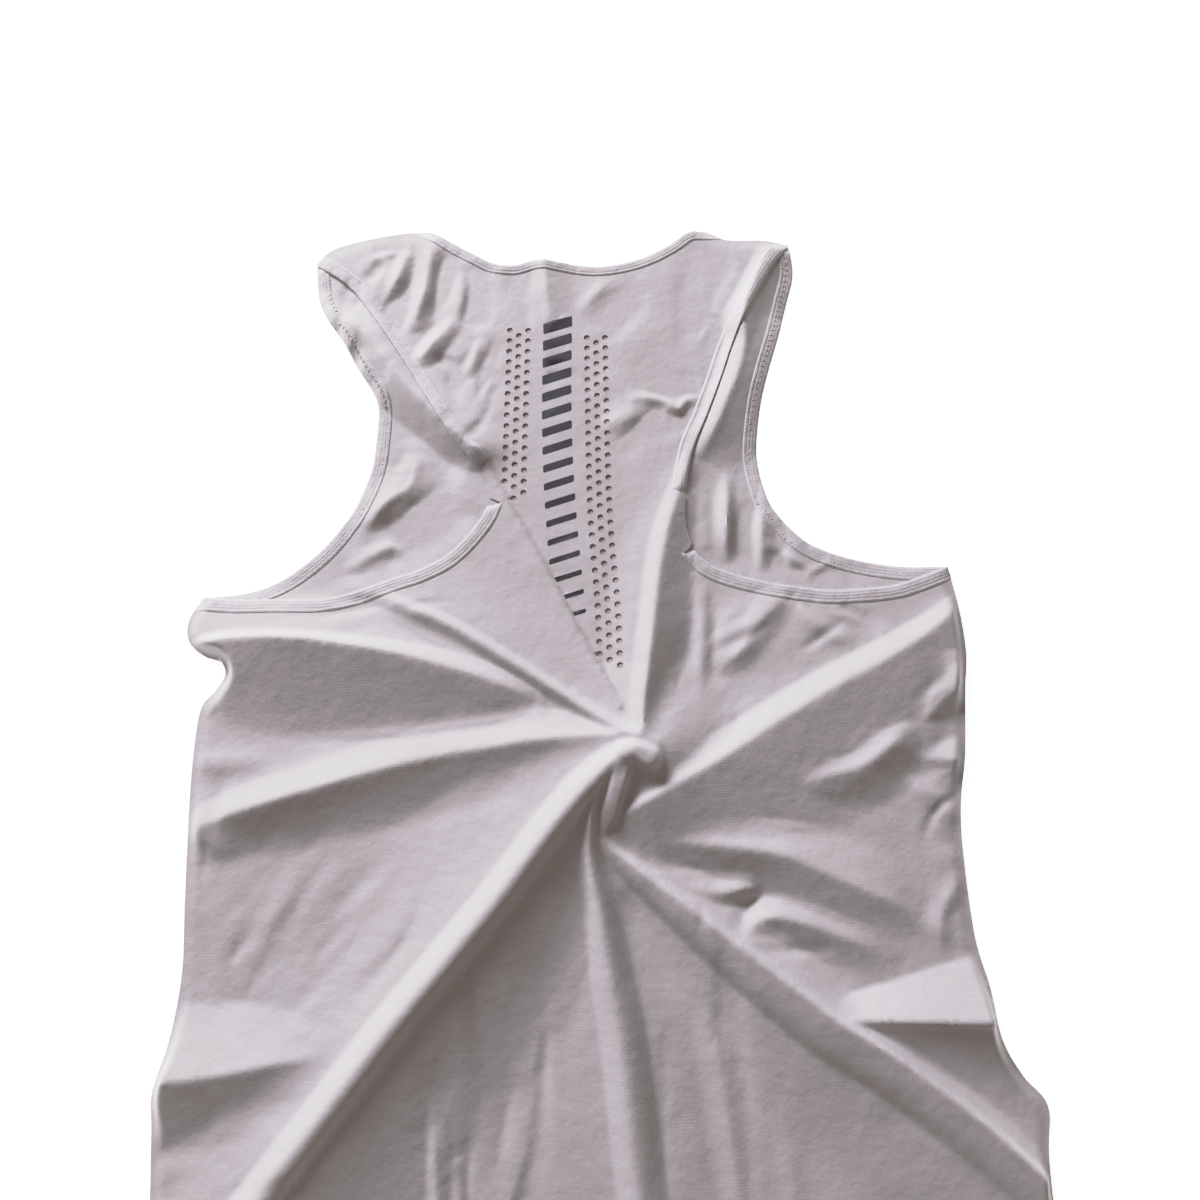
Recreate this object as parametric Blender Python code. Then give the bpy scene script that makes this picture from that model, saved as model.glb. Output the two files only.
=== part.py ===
"""A running singlet, laid face down and flat on a table.

The front panel lies on the table and the back panel lies on it. The middle of the back is pinched
and twisted clockwise, so its cloth stands in folds that run in to a small knot. Both panels are
bound round the neck and the armholes, and two bands of holes are punched down the back.

Every table and every function below is in millimetres: x to the right, y towards the neck, z up
from the table, with the origin under the middle of the garment. Only new_object() turns a mesh
into Blender's metres.
"""

import math
from typing import NamedTuple

import bmesh
import bpy
import numpy as np
from mathutils import Vector
from mathutils.geometry import delaunay_2d_cdt
from mathutils.kdtree import KDTree

MM = 0.001

# Driving dimensions.
WALL = 1.2
SEAM_GAP = 0.3
ARMHOLE_BINDING = 10.0
NECK_BINDING = 8.0
BINDING_RISE = 0.7
FRONT_BINDING_RISE = 0.4
BACK_LIFT = 0.8
RELIEF_CLEARANCE = 0.2
SEAM_EASE = 9.0
HOLE_RADIUS = 2.15
HOLE_SIDES = 6
HOLE_CLEARANCE = 4.3
HOLE_COLUMN = 6.6
HOLE_ROW = 8.3
BLEND = 6.0
STEEPEST_WALL = 2.6

# The curves of the folds.
LIP_CURVE = 1.25
CREASE_FADE = 0.7
FLANK_MARGIN = 1.0

# How finely the solids are cut.
EDGE_STEP = 9.0
FOLD_STEP = 15.0
BACK_GRID = 22.0
FRONT_GRID = 40.0
GRID_HALF_WIDTH = 275.0
GRID_HALF_LENGTH = 355.0
CREST_SPACE = 2.8
BACK_ROWS = (0.0, 3.5, 9.0)
FRONT_ROWS = (0.0, 4.0, 11.0, 24.0)
SHARP_ANGLE = 50.0

# Smaller than any real length or slope here.
TINY = 1e-6


class Flank(NamedTuple):
    """One side of a fold.

    reach is how far it runs out from the crest, along the fold's line. curve is 1 for a straight
    slope and more for a hollow one. lip_share of the height stands in a round lip of width lip,
    and a fuller lip is flatter on top and steeper at its foot.
    """

    reach: tuple
    curve: float = 1.6
    lip_share: float = 0.0
    lip: tuple = (5.0,)
    fullness: float = 2.0


class Fold(NamedTuple):
    """A fold of cloth: its crest line, its height along that line, and its two sides."""

    name: str
    line: tuple
    height: tuple
    left: Flank
    right: Flank
    crest: float = 1.5


class Crease(NamedTuple):
    """A short soft ridge, or a trough where the height is negative, that fades at both ends."""

    name: str
    line: tuple
    height: float
    width: float


class Edge(NamedTuple):
    """One edge of a panel: its points, clockwise round the panel, and the binding along it."""

    name: str
    points: tuple
    binding: float = 0.0


class HoleBand(NamedTuple):
    """A band of punched holes: its middle line, and how many rows it has."""

    name: str
    line: tuple
    rows: int


class BandCorner(NamedTuple):
    """A corner of a binding's section: the share of its width, and the share of its depth."""

    across: float
    up: float


# What the two panels share: the shoulder seams, the side seams and the hem.
SHOULDER_RIGHT = Edge("shoulder_right", ((104, 342), (120, 334), (148, 332), (166, 327)))
SHOULDER_LEFT = Edge(
    "shoulder_left",
    ((-183, 326), (-172, 338), (-150, 345), (-120, 350), (-97, 350)),
)
SIDE_RIGHT = Edge(
    "side_right",
    (
        (249, 75), (251, 60), (253, 40), (253, 14), (249, -9), (243, -50), (236, -80), (233, -110),
        (233, -160), (238, -190), (241, -219), (250, -239), (262, -256), (258, -285), (255, -350),
    ),
)
SIDE_LEFT = Edge(
    "side_left",
    (
        (-258, -350), (-259, -285), (-261, -245), (-262, -224), (-254, -197), (-249, -160),
        (-250, -117), (-251, -57), (-250, -20), (-247, 2), (-239, 12), (-233, 22), (-236, 31),
        (-248, 36), (-258, 46), (-259, 60), (-250, 76),
    ),
)
HEM = Edge("hem", ((255, -350), (85, -352), (-85, -352), (-258, -350)))

BACK_EDGES = (
    Edge(
        "neck",
        (
            (-97, 350), (-80, 338), (-66, 329), (-52, 321), (-38, 319), (-22, 322), (-4, 319),
            (26, 315), (55, 320), (76, 330), (92, 341), (104, 342),
        ),
        NECK_BINDING,
    ),
    SHOULDER_RIGHT,
    Edge(
        "armhole_right",
        (
            (166, 327), (153, 311), (141, 292), (128, 269), (117, 246), (106, 218), (95, 192),
            (84, 168), (77, 140), (74, 115), (79, 95), (90, 83), (108, 75), (128, 69), (148, 65),
            (168, 62), (188, 62), (208, 63), (225, 67), (249, 75),
        ),
        ARMHOLE_BINDING,
    ),
    SIDE_RIGHT,
    HEM,
    SIDE_LEFT,
    Edge(
        "armhole_left",
        (
            (-250, 76), (-228, 73), (-200, 72), (-172, 71), (-150, 75), (-125, 83), (-105, 89),
            (-88, 98), (-74, 111), (-62, 127), (-58, 143), (-64, 158), (-80, 176), (-97, 205),
            (-120, 247), (-146, 290), (-160, 308), (-183, 326),
        ),
        ARMHOLE_BINDING,
    ),
    SHOULDER_LEFT,
)

FRONT_EDGES = (
    Edge(
        "neck",
        (
            (-97, 350), (-91, 332), (-79, 313), (-58, 297), (-30, 287), (3, 283), (36, 287),
            (64, 297), (85, 313), (97, 329), (104, 342),
        ),
        NECK_BINDING,
    ),
    SHOULDER_RIGHT,
    Edge(
        "armhole_right",
        (
            (166, 327), (167, 303), (160, 279), (151, 251), (141, 223), (134, 200), (129, 173),
            (128, 157), (130, 140), (134, 125), (143, 111), (155, 98), (171, 89), (188, 83),
            (204, 79), (224, 76), (249, 75),
        ),
        ARMHOLE_BINDING,
    ),
    SIDE_RIGHT,
    HEM,
    SIDE_LEFT,
    Edge(
        "armhole_left",
        (
            (-250, 76), (-227, 77), (-210, 81), (-194, 89), (-175, 104), (-161, 120), (-149, 138),
            (-140, 163), (-137, 186), (-136, 209), (-140, 222), (-150, 239), (-161, 261),
            (-172, 278), (-180, 298), (-183, 326),
        ),
        ARMHOLE_BINDING,
    ),
    SHOULDER_LEFT,
)

# The back's folds, each from its outer end in to the knot, or out from it.
BACK_FOLDS = (
    Fold(
        "mound",
        ((12, -52), (24, -48), (40, -42)),
        (15, 17.5, 17.5),
        Flank((66, 66, 64), 1.35),
        Flank((62, 62, 60), 1.3),
        8.0,
    ),
    Fold(
        "upper_left",
        (
            (-136, 72), (-112, 61), (-88, 49), (-66, 35), (-44, 20), (-20, 3), (4, -14), (33, -33),
        ),
        (1, 3, 4, 4.6, 6, 8.4, 11.4, 16),
        Flank((24, 46, 60, 60, 30), 1.3, 0.4, (5,), 1.5),
        Flank((6, 9, 10, 9, 7), 1.1),
        1.2,
    ),
    Fold(
        "left_roll",
        (
            (-253, 40), (-232, 43), (-189, 42), (-142, 34), (-99, 23), (-60, 9), (-30, -3),
        ),
        (7, 11, 14, 13.5, 11, 7, 3),
        Flank((30, 36, 24, 12), 1.3, 0.5, (6,), 1.5),
        Flank((40, 52, 50, 22), 1.05),
        1.6,
    ),
    Fold(
        "left_long",
        (
            (-247, -76), (-217, -66), (-170, -54), (-132, -45), (-94, -38), (-61, -34), (-27, -30),
            (10, -30), (34, -30), (46, -36),
        ),
        (2, 5.5, 7.6, 8.2, 8.6, 9.6, 11.4, 13.8, 16.5, 16),
        Flank((32, 48, 50, 36, 14), 2.6),
        Flank((22, 34, 40, 48, 50), 1.8),
        1.6,
    ),
    Fold(
        "lower_left_roll",
        (
            (-247, -343), (-190, -279), (-122, -199), (-79, -152), (-52, -122), (-24, -88),
            (-6, -68), (8, -55), (19, -46), (28, -42),
        ),
        (15, 20, 23, 24, 24, 24, 23, 22.5, 22.5, 22),
        Flank((60, 76, 84, 64, 34), 1.6, 0.44, (13, 13, 13, 13, 12, 11, 11, 9, 9), 1.6),
        Flank((90, 92, 82, 56, 22), 1.7, 0.14, (7, 7, 7, 6, 6), 1.6),
        3.4,
    ),
    Fold(
        "hook",
        ((24, -41.5), (32, -41.5), (40, -45)),
        (22.5, 23, 22.5),
        Flank((8, 9, 10), 1.0, 1.0, (10, 11, 11), 2.4),
        Flank((6, 8, 10), 1.0, 1.0, (7, 11, 12), 3.2),
    ),
    Fold(
        "inner_strip",
        ((24, -48), (20, -59), (17.5, -67), (13, -79), (8.5, -89)),
        (20.5, 20.5, 19, 15, 9),
        Flank((8, 8, 4), 1.0, 1.0, (7.5, 8, 8, 7, 3), 3.6),
        Flank((8, 8, 4), 1.0, 1.0, (7, 8.5, 8.5, 7, 3), 3.2),
    ),
    Fold(
        "bottom_vertical",
        (
            (7, -60), (3, -74), (1, -88), (0, -105), (4, -130), (7, -152), (10, -175), (15, -217),
            (24, -345),
        ),
        (18, 17, 16, 15, 14.5, 14, 13.5, 13, 12),
        Flank((4, 9, 30, 40, 50), 1.4, 0.6, (2.5, 6.5, 10, 13, 16), 1.8),
        Flank((4, 9, 30, 60, 90), 1.1, 0.6, (2, 6, 8, 11, 12), 1.5),
        1.4,
    ),
    Fold(
        "lower_right_roll",
        (
            (8, -94), (36, -117), (63, -139), (86, -158), (113, -180), (140, -202), (172, -223),
            (199, -244), (226, -268), (258, -300),
        ),
        (10, 14, 17, 18, 19, 19, 18, 17, 15, 12),
        Flank((8, 24, 34, 26, 18, 16), 1.3, 0.3, (5,), 1.5),
        Flank((14, 60, 90, 90), 1.15, 0.42, (6, 17, 22, 22, 19), 3.0),
        1.6,
    ),
    Fold(
        "right_low_ridge",
        (
            (38, -92), (64, -98), (92, -102), (120, -108), (147, -121), (174, -134), (201, -146),
        ),
        (2, 8, 10, 10, 8.5, 6, 1.5),
        Flank((12, 24, 27, 22), 1.3),
        Flank((10, 20, 26, 20), 1.1),
        2.0,
    ),
    Fold(
        "right_long",
        (
            (252, 46), (229, 29), (195, 10), (161, -6), (127, -24), (94, -43), (61, -60), (36, -72),
            (14, -82),
        ),
        (5, 8, 10, 11, 12, 13.5, 15.5, 16.5, 11),
        Flank((36, 72, 72, 56), 1.1),
        Flank((16, 40, 44, 30), 1.4, 0.7, (9, 14, 15, 15, 13), 1.3),
        1.3,
    ),
    Fold(
        "strap_ridge",
        ((80, 162), (70, 132), (61, 105), (54, 76), (49, 48), (44, 20), (39, -7), (37, -27)),
        (1, 5, 8, 10, 12, 14, 16, 17),
        Flank((8, 18, 24, 24, 20), 1.3),
        Flank((10, 26, 32, 32, 20), 1.3, 0.5, (5, 9, 9, 9, 7), 1.4),
        1.2,
    ),
    Fold(
        "pleat",
        ((-66, 172), (-25, 90), (3, 30), (24, -11)),
        (2, 3, 5, 9),
        Flank((3, 3, 3, 5), 1.0, 1.0, (3,)),
        Flank((60, 50, 40, 16), 1.4),
        0.6,
    ),
    Fold(
        "right_mid",
        ((118, -66), (148, -59), (180, -45), (208, -29), (236, -13)),
        (1, 8, 10, 9, 4),
        Flank((10, 22, 22, 14), 1.3),
        Flank((8, 16, 17, 13), 1.2),
        1.8,
    ),
    Fold(
        "lozenge",
        ((34, -110), (56, -121), (78, -128), (97, -126)),
        (1, 5, 6.6, 5),
        Flank((10, 18, 15), 1.4),
        Flank((6, 9, 8), 1.3),
        1.8,
    ),
    Fold(
        "curl",
        ((85, -163), (97, -148), (113, -144), (136, -151), (160, -161), (186, -173)),
        (1, 5, 6.6, 6, 4, 0),
        Flank((6, 16, 16), 1.5),
        Flank((6, 16, 15), 1.2),
        1.8,
    ),
    Fold(
        "right_shelf",
        ((128, -202), (168, -204), (208, -206), (250, -208)),
        (1, 8, 13, 16),
        Flank((6, 20, 34, 44), 1.3),
        Flank((10, 34, 54, 62), 1.0, 0.1, (3,)),
        0.8,
    ),
    Fold(
        "left_shelf",
        ((-262, -218), (-226, -216), (-186, -211), (-140, -206)),
        (9, 10.5, 9, 2),
        Flank((24, 24, 14), 1.4, 0.3, (9,), 1.5),
        Flank((36, 42, 20), 1.25),
        1.3,
    ),
    Fold(
        "low_left",
        ((-97, -192), (-96, -226), (-93, -345)),
        (0, 4.6, 6),
        Flank((6, 12, 14), 1.2),
        Flank((3, 6, 7), 1.3),
        1.2,
    ),
    Fold(
        "low_middle",
        ((58, -160), (72, -216), (80, -345)),
        (0, 2.5, 2),
        Flank((9, 12)),
        Flank((9, 14)),
        2.0,
    ),
    Fold(
        "under_armhole",
        ((138, 58), (119, 42), (103, 23), (88, 8)),
        (1, 4.2, 4.6, 0),
        Flank((9, 14, 14, 9), 1.3),
        Flank((10, 20, 20, 12), 1.2),
        1.6,
    ),
)

# The front's folds, which show through the armholes of the back.
FRONT_FOLDS = (
    Fold(
        "left_strap",
        ((-176, 300), (-160, 280), (-141, 254), (-119, 226), (-100, 204), (-82, 184), (-66, 168)),
        (1, 4, 6, 6, 6, 4, 1),
        Flank((24, 28, 24), 1.4),
        Flank((8, 9, 8)),
    ),
    Fold(
        "left_window",
        ((-109, 174), (-112, 150), (-131, 134), (-142, 118)),
        (1, 4, 5, 1),
        Flank((12, 12, 10)),
        Flank((10, 12, 8)),
    ),
    Fold(
        "right_strap",
        (
            (152, 320), (141, 292), (131, 266), (123, 243), (116, 222), (107, 203), (97, 179),
            (87, 160),
        ),
        (1, 6, 9, 10, 10, 9, 7, 1),
        Flank((20, 32, 38, 36, 28), 1.3),
        Flank((7, 9, 9, 8)),
    ),
    Fold(
        "right_window",
        ((106, 150), (103, 122), (102, 100), (101, 84)),
        (0, 5, 5, 0),
        Flank((8, 9)),
        Flank((8, 10)),
    ),
    Fold(
        "right_window_side",
        ((127, 124), (125, 106), (124, 92), (125, 78)),
        (0, 4, 3, 0),
        Flank((8, 9)),
        Flank((5, 5)),
    ),
)

# The largest of the back's creases, at the shoulders and beside the bands of holes.
BACK_CREASES = (
    Crease("left_shoulder_dip", ((-84, 334), (-90, 306), (-101, 276), (-103, 257)), -2.6, 6.0),
    Crease("left_shoulder_ridge", ((-99, 328), (-107, 297), (-114, 274)), 2.4, 5.0),
    Crease("left_chest_ridge", ((-66, 256), (-67, 233), (-78, 219)), 2.4, 5.0),
    Crease("right_chest_ridge", ((36, 210), (69, 209), (76, 203), (92, 208)), 2.8, 5.0),
    Crease(
        "right_chest_dip",
        ((88, 206), (76, 194), (64, 198), (53, 188), (34, 164), (29, 120)),
        -2.4,
        5.5,
    ),
)


HOLE_BANDS = (
    HoleBand("left", ((-35, 265), (-42, 134)), 16),
    HoleBand("right", ((20, 257), (17, 130), (19, 60), (18.5, 13)), 30),
)

# The round of a bound edge, from its outer lower corner over the top to its inner lower corner.
BAND_SECTION = (
    BandCorner(0.06, 0.0),
    BandCorner(0.0, 0.5),
    BandCorner(0.1, 1.0),
    BandCorner(0.9, 1.0),
    BandCorner(1.0, 0.55),
    BandCorner(1.0, 0.0),
)

CLOTH = (0.76, 0.745, 0.79, 1.0)
BINDING = (0.79, 0.785, 0.82, 1.0)


def smooth_line(points, step):
    """A Catmull-Rom curve through the points, read about every step.

    Returns its points, and how far along each one lies, from 0 to 1.
    """
    knots = np.array(points, float)
    if len(knots) == 2:
        knots = np.array([knots[0], knots.mean(axis=0), knots[1]])
    ends = np.vstack([2 * knots[0] - knots[1], knots, 2 * knots[-1] - knots[-2]])
    spans = len(knots) - 1
    line, share = [], []
    for span in range(spans):
        before, start, end, after = ends[span : span + 4]
        count = max(1, math.ceil(np.linalg.norm(end - start) / step))
        t = (np.arange(count) / count)[:, None]
        bend = (2 * start + (end - before) * t) + (2 * before - 5 * start + 4 * end - after) * t**2
        line.append((bend + (3 * start - 3 * end + after - before) * t**3) / 2)
        share.append((span + t[:, 0]) / spans)
    line.append(knots[-1:])
    share.append(np.ones(1))
    return np.vstack(line), np.concatenate(share)


def nearest_on(line, share, points):
    """How far each point is from a line, and where on it.

    Returns for each point its distance, the nearest share, and its side: 1 on the left and -1 on
    the right, and between them round an end of the line.
    """
    best = np.full(len(points), np.inf)
    side = np.zeros(len(points))
    where = np.zeros(len(points))
    for start, end, first, last in zip(line[:-1], line[1:], share[:-1], share[1:]):
        along = end - start
        offset = points - start
        t = np.clip(offset @ along / (along @ along), 0, 1)
        square = ((offset - t[:, None] * along) ** 2).sum(axis=1)
        closer = square < best
        best[closer] = square[closer]
        turn = along[0] * offset[:, 1] - along[1] * offset[:, 0]
        side[closer] = turn[closer] / np.linalg.norm(along)
        where[closer] = (first + (last - first) * t)[closer]
    distance = np.sqrt(best)
    return distance, where, np.clip(side / np.maximum(distance, TINY), -1, 1)


def eased(value):
    """0 to 1 with no corner at either end."""
    value = np.clip(value, 0, 1)
    return value * value * (3 - 2 * value)


def read_along(values, share):
    """Evenly spaced values, read at a share of the way on a smooth curve through them."""
    knots = np.array(values, float)
    if len(knots) == 1:
        return np.full(np.shape(share), knots[0])
    at = np.clip(share, 0, 1) * (len(knots) - 1)
    first = np.minimum(at.astype(int), len(knots) - 2)
    t = at - first
    slope = np.gradient(knots)
    rise = knots[first + 1] - knots[first]
    bend = slope[first] * (1 - t) - slope[first + 1] * t + rise * (2 * t - 1)
    return knots[first] + rise * t + t * (1 - t) * bend


def flank_height(flank, distance, share):
    """What is left of a fold's height at a distance from its crest, from 1 to 0."""
    slope = (1 - np.clip(distance / read_along(flank.reach, share), 0, 1)) ** flank.curve
    lip = 1 - np.clip(distance / read_along(flank.lip, share), 0, 1) ** flank.fullness
    return (1 - flank.lip_share) * slope + flank.lip_share * lip**LIP_CURVE


def fold_height(fold, points):
    """The height that one fold gives each point."""
    line, share = smooth_line(fold.line, BLEND)
    reach = max(fold.left.reach + fold.right.reach) + FLANK_MARGIN
    near = ((points > line.min(axis=0) - reach) & (points < line.max(axis=0) + reach)).all(axis=1)
    height = np.zeros(len(points))
    if not near.any():
        return height
    distance, where, side = nearest_on(line, share, points[near])
    distance = np.sqrt(distance**2 + fold.crest**2) - fold.crest
    left = flank_height(fold.left, distance, where)
    right = flank_height(fold.right, distance, where)
    both = right + (left - right) * eased((1 + side) / 2)
    height[near] = read_along(fold.height, where) * both
    return height


def crease_height(crease, points):
    """The height that one crease adds at each point."""
    line, share = smooth_line(crease.line, BLEND)
    distance, where, _ = nearest_on(line, share, points)
    along = np.sin(math.pi * where) ** CREASE_FADE
    return crease.height * along * np.exp(-((distance / crease.width) ** 2))


def merged(first, second):
    """The higher of two heights, with the valley between them filled by a small fillet."""
    width = np.maximum(np.minimum(BLEND, 2 * np.minimum(first, second)), TINY)
    near = np.maximum(width - np.abs(first - second), 0) / width
    return np.maximum(first, second) + near * near * width / 4


def folds_height(folds, points):
    """The height of all the folds together."""
    height = np.zeros(len(points))
    for fold in folds:
        height = merged(height, fold_height(fold, points))
    return height


def seam_ease(points):
    """0 on the side and shoulder seams, where the panels are sewn together, and 1 inside them."""
    ease = np.ones(len(points))
    for seam in (SHOULDER_LEFT, SHOULDER_RIGHT, SIDE_LEFT, SIDE_RIGHT):
        line, share = smooth_line(seam.points, EDGE_STEP)
        distance, _, _ = nearest_on(line, share, points)
        ease = np.minimum(ease, eased(distance / SEAM_EASE))
    return ease


def front_underside(points):
    """The front panel's underside: flat on the table, but for the folds at the armholes."""
    return folds_height(FRONT_FOLDS, points) * seam_ease(points)


def back_floor(points):
    """As low as the back panel's underside may come, just above the front panel."""
    lift = WALL + SEAM_GAP + BACK_LIFT * seam_ease(points)
    return lift + front_underside(points) * (1 + RELIEF_CLEARANCE)


def back_underside(points):
    """The back panel's underside."""
    height = folds_height(BACK_FOLDS, points)
    for crease in BACK_CREASES:
        height = np.maximum(height + crease_height(crease, points), 0)
    return back_floor(points) + height * seam_ease(points)


def unit_normals(line):
    """At each point of a line, the unit vector to its right."""
    along = np.gradient(line, axis=0)
    along /= np.linalg.norm(along, axis=1)[:, None]
    return np.column_stack([along[:, 1], -along[:, 0]])


def lengthened(line, length=25.0):
    """The line with a straight run added at each end."""
    first = line[0] - line[1]
    last = line[-1] - line[-2]
    start = line[0] + first / np.linalg.norm(first) * length
    end = line[-1] + last / np.linalg.norm(last) * length
    return np.vstack([start, line, end])


def crossing(first, second):
    """Where the end of one line first meets the start of another.

    Returns the point, the index of the segment on each line.
    """
    for i in range(len(first) - 2, -1, -1):
        along = first[i + 1] - first[i]
        for j in range(len(second) - 1):
            other = second[j + 1] - second[j]
            turn = along[0] * other[1] - along[1] * other[0]
            if abs(turn) < TINY:
                continue
            gap = second[j] - first[i]
            t = (gap[0] * other[1] - gap[1] * other[0]) / turn
            u = (gap[0] * along[1] - gap[1] * along[0]) / turn
            if 0 <= t <= 1 and 0 <= u <= 1:
                return first[i] + t * along, i, j
    raise ValueError("two edges that follow each other don't meet")


class EdgeCut(NamedTuple):
    """An edge's line, cut by its neighbours: its two end points and the stations kept between."""

    line: np.ndarray
    start: np.ndarray
    end: np.ndarray
    kept: range


def edge_cuts(edges, extra):
    """Each edge's line, moved in by its binding and the extra width, and cut by its neighbours.

    An edge with no binding stays where it is. Lines made with another extra width have the same
    stations, so they run side by side.
    """
    lines = []
    for edge in edges:
        line = lengthened(smooth_line(edge.points, EDGE_STEP)[0])
        width = edge.binding + extra if edge.binding else 0.0
        lines.append(line + unit_normals(line) * width)
    cuts = []
    for before, line, after in zip([lines[-1], *lines[:-1]], lines, [*lines[1:], lines[0]]):
        start, _, first = crossing(before, line)
        end, last, _ = crossing(line, after)
        first += 2 if np.linalg.norm(line[first + 1] - start) < EDGE_STEP / 4 else 1
        last -= 1 if np.linalg.norm(line[last] - end) < EDGE_STEP / 4 else 0
        cuts.append(EdgeCut(line, start, end, range(first, last + 1)))
    return cuts


def panel_boundary(edges):
    """A panel's own outline, inside its bindings, as one closed loop."""
    cuts = edge_cuts(edges, SEAM_GAP)
    return np.vstack([np.vstack([cut.start, cut.line[cut.kept]]) for cut in cuts])


def inside(points, loop):
    """Which points lie inside a closed loop."""
    result = np.zeros(len(points), bool)
    for (x1, y1), (x2, y2) in zip(loop, np.roll(loop, -1, axis=0)):
        if y1 == y2:
            continue
        level = (y1 > points[:, 1]) != (y2 > points[:, 1])
        result ^= level & (points[:, 0] < (x2 - x1) * (points[:, 1] - y1) / (y2 - y1) + x1)
    return result


def distance_to_loop(loop, points):
    """How far each point is from a closed loop."""
    line = np.vstack([loop, loop[:1]])
    distance, _, _ = nearest_on(line, np.linspace(0, 1, len(line)), points)
    return distance


def clear_of(points, others, clearance):
    """The points that keep the clearance to all the others."""
    tree = KDTree(len(others))
    for index, (x, y) in enumerate(others):
        tree.insert((x, y, 0), index)
    tree.balance()
    far = [tree.find((x, y, 0))[2] > clearance for x, y in points]
    return points[np.array(far, bool)]


def well_spaced(points, clearance):
    """The points in order, leaving out each one too near to one that is already in."""
    kept = np.empty((len(points), 2))
    count = 0
    for point in points:
        if count == 0 or ((kept[:count] - point) ** 2).sum(axis=1).min() > clearance**2:
            kept[count] = point
            count += 1
    return kept[:count]


def fold_points(folds, offsets):
    """Points along the crest of each fold and along rows on both sides of it."""
    rows = []
    for offset in offsets:
        for fold in folds:
            line, _ = smooth_line(fold.line, FOLD_STEP)
            for side in {-offset, offset}:
                rows.append(line + unit_normals(line) * side)
    return np.vstack(rows)


def grid_points(step):
    """An even triangular grid over the whole garment."""
    rows = np.arange(-GRID_HALF_LENGTH, GRID_HALF_LENGTH, step * math.sqrt(3) / 2)
    columns = np.arange(-GRID_HALF_WIDTH, GRID_HALF_WIDTH, step)
    shift = np.where(np.arange(len(rows)) % 2, step / 2, 0)
    x = columns[None, :] + shift[:, None]
    y = np.broadcast_to(rows[:, None], x.shape)
    return np.column_stack([x.ravel(), y.ravel()])


def hole_centres():
    """The middle of each punched hole: three columns to a band, the middle one set half a row down."""
    centres = []
    for band in HOLE_BANDS:
        line, _ = smooth_line(band.line, 1.0)
        length = np.concatenate([[0], np.cumsum(np.linalg.norm(np.diff(line, axis=0), axis=1))])
        normals = unit_normals(line)
        for column in (-1, 0, 1):
            for row in range(band.rows):
                at = (row + (0.5 if column == 0 else 0.0)) * HOLE_ROW
                if at > length[-1]:
                    continue
                point = np.array([np.interp(at, length, axis) for axis in line.T])
                across = np.array([np.interp(at, length, axis) for axis in normals.T])
                centres.append(point + across * column * HOLE_COLUMN)
    return np.array(centres)


def punched_holes(boundary):
    """The loop of each hole that isn't covered by the pleat or lost in the folds at the knot."""
    pleat = next(fold for fold in BACK_FOLDS if fold.name == "pleat")
    line, share = smooth_line(pleat.line, EDGE_STEP)
    centres = hole_centres()
    distance, _, side = nearest_on(line, share, centres)
    above = centres[:, 1] > pleat.line[0][1]
    shown = ((distance > HOLE_CLEARANCE) & (side > 0)) | above
    centres = centres[shown & (distance_to_loop(boundary, centres) > HOLE_CLEARANCE)]
    angles = np.arange(HOLE_SIDES) * 2 * math.pi / HOLE_SIDES
    ring = HOLE_RADIUS * np.column_stack([np.cos(angles), np.sin(angles)])
    return [centre + ring for centre in centres]


def triangulated(boundary, holes, points):
    """Triangles that fill the boundary but not its holes, through all the given points.

    Returns the plan points and the triangles, each anticlockwise.
    """
    loops = [boundary, *holes]
    corners = np.vstack([*loops, points])
    edges, start = [], 0
    for loop in loops:
        edges += [(start + i, start + (i + 1) % len(loop)) for i in range(len(loop))]
        start += len(loop)
    result = delaunay_2d_cdt([Vector(corner) for corner in corners], edges, [], 1, 1e-4)
    plan = np.array([tuple(vert) for vert in result[0]])
    hole_of = np.full(len(plan), -1)
    starts = np.cumsum([0] + [len(loop) for loop in loops])
    for index, originals in enumerate(result[3]):
        for original in originals:
            if len(boundary) <= original < start:
                hole_of[index] = np.searchsorted(starts, original, side="right")
    triangles = np.array([tuple(face) for face in result[2]])
    owner = hole_of[triangles]
    in_hole = (owner[:, 0] >= 0) & (owner[:, 0] == owner[:, 1]) & (owner[:, 0] == owner[:, 2])
    triangles = triangles[~in_hole]
    a, b, c = (plan[triangles[:, corner]] for corner in range(3))
    turn = (b - a)[:, 0] * (c - a)[:, 1] - (b - a)[:, 1] * (c - a)[:, 0]
    triangles[turn < 0] = triangles[turn < 0][:, ::-1]
    return plan, triangles


def wall_depth(plan, height, triangles):
    """The upright depth of a wall of even thickness, which grows where the cloth is steep."""
    points = np.column_stack([plan, height])
    a, b, c = (points[triangles[:, corner]] for corner in range(3))
    normals = np.zeros_like(points)
    facing = np.cross(b - a, c - a)
    for corner in range(3):
        np.add.at(normals, triangles[:, corner], facing)
    level = normals[:, 2] / np.linalg.norm(normals, axis=1)
    return WALL * np.minimum(1 / np.maximum(level, TINY), STEEPEST_WALL)


def closed_mesh(plan, top, bottom, triangles):
    """A closed wall of cloth: the top, the underside, and a strip round each loop of edges."""
    count = len(plan)
    upper = triangles.tolist()
    edges = [edge for a, b, c in upper for edge in ((a, b), (b, c), (c, a))]
    known = set(edges)
    faces = [tuple(face) for face in upper]
    faces += [(c + count, b + count, a + count) for a, b, c in upper]
    faces += [(b, a, a + count, b + count) for a, b in edges if (b, a) not in known]
    points = np.vstack([np.column_stack([plan, top]), np.column_stack([plan, bottom])])
    return points, faces


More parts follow.
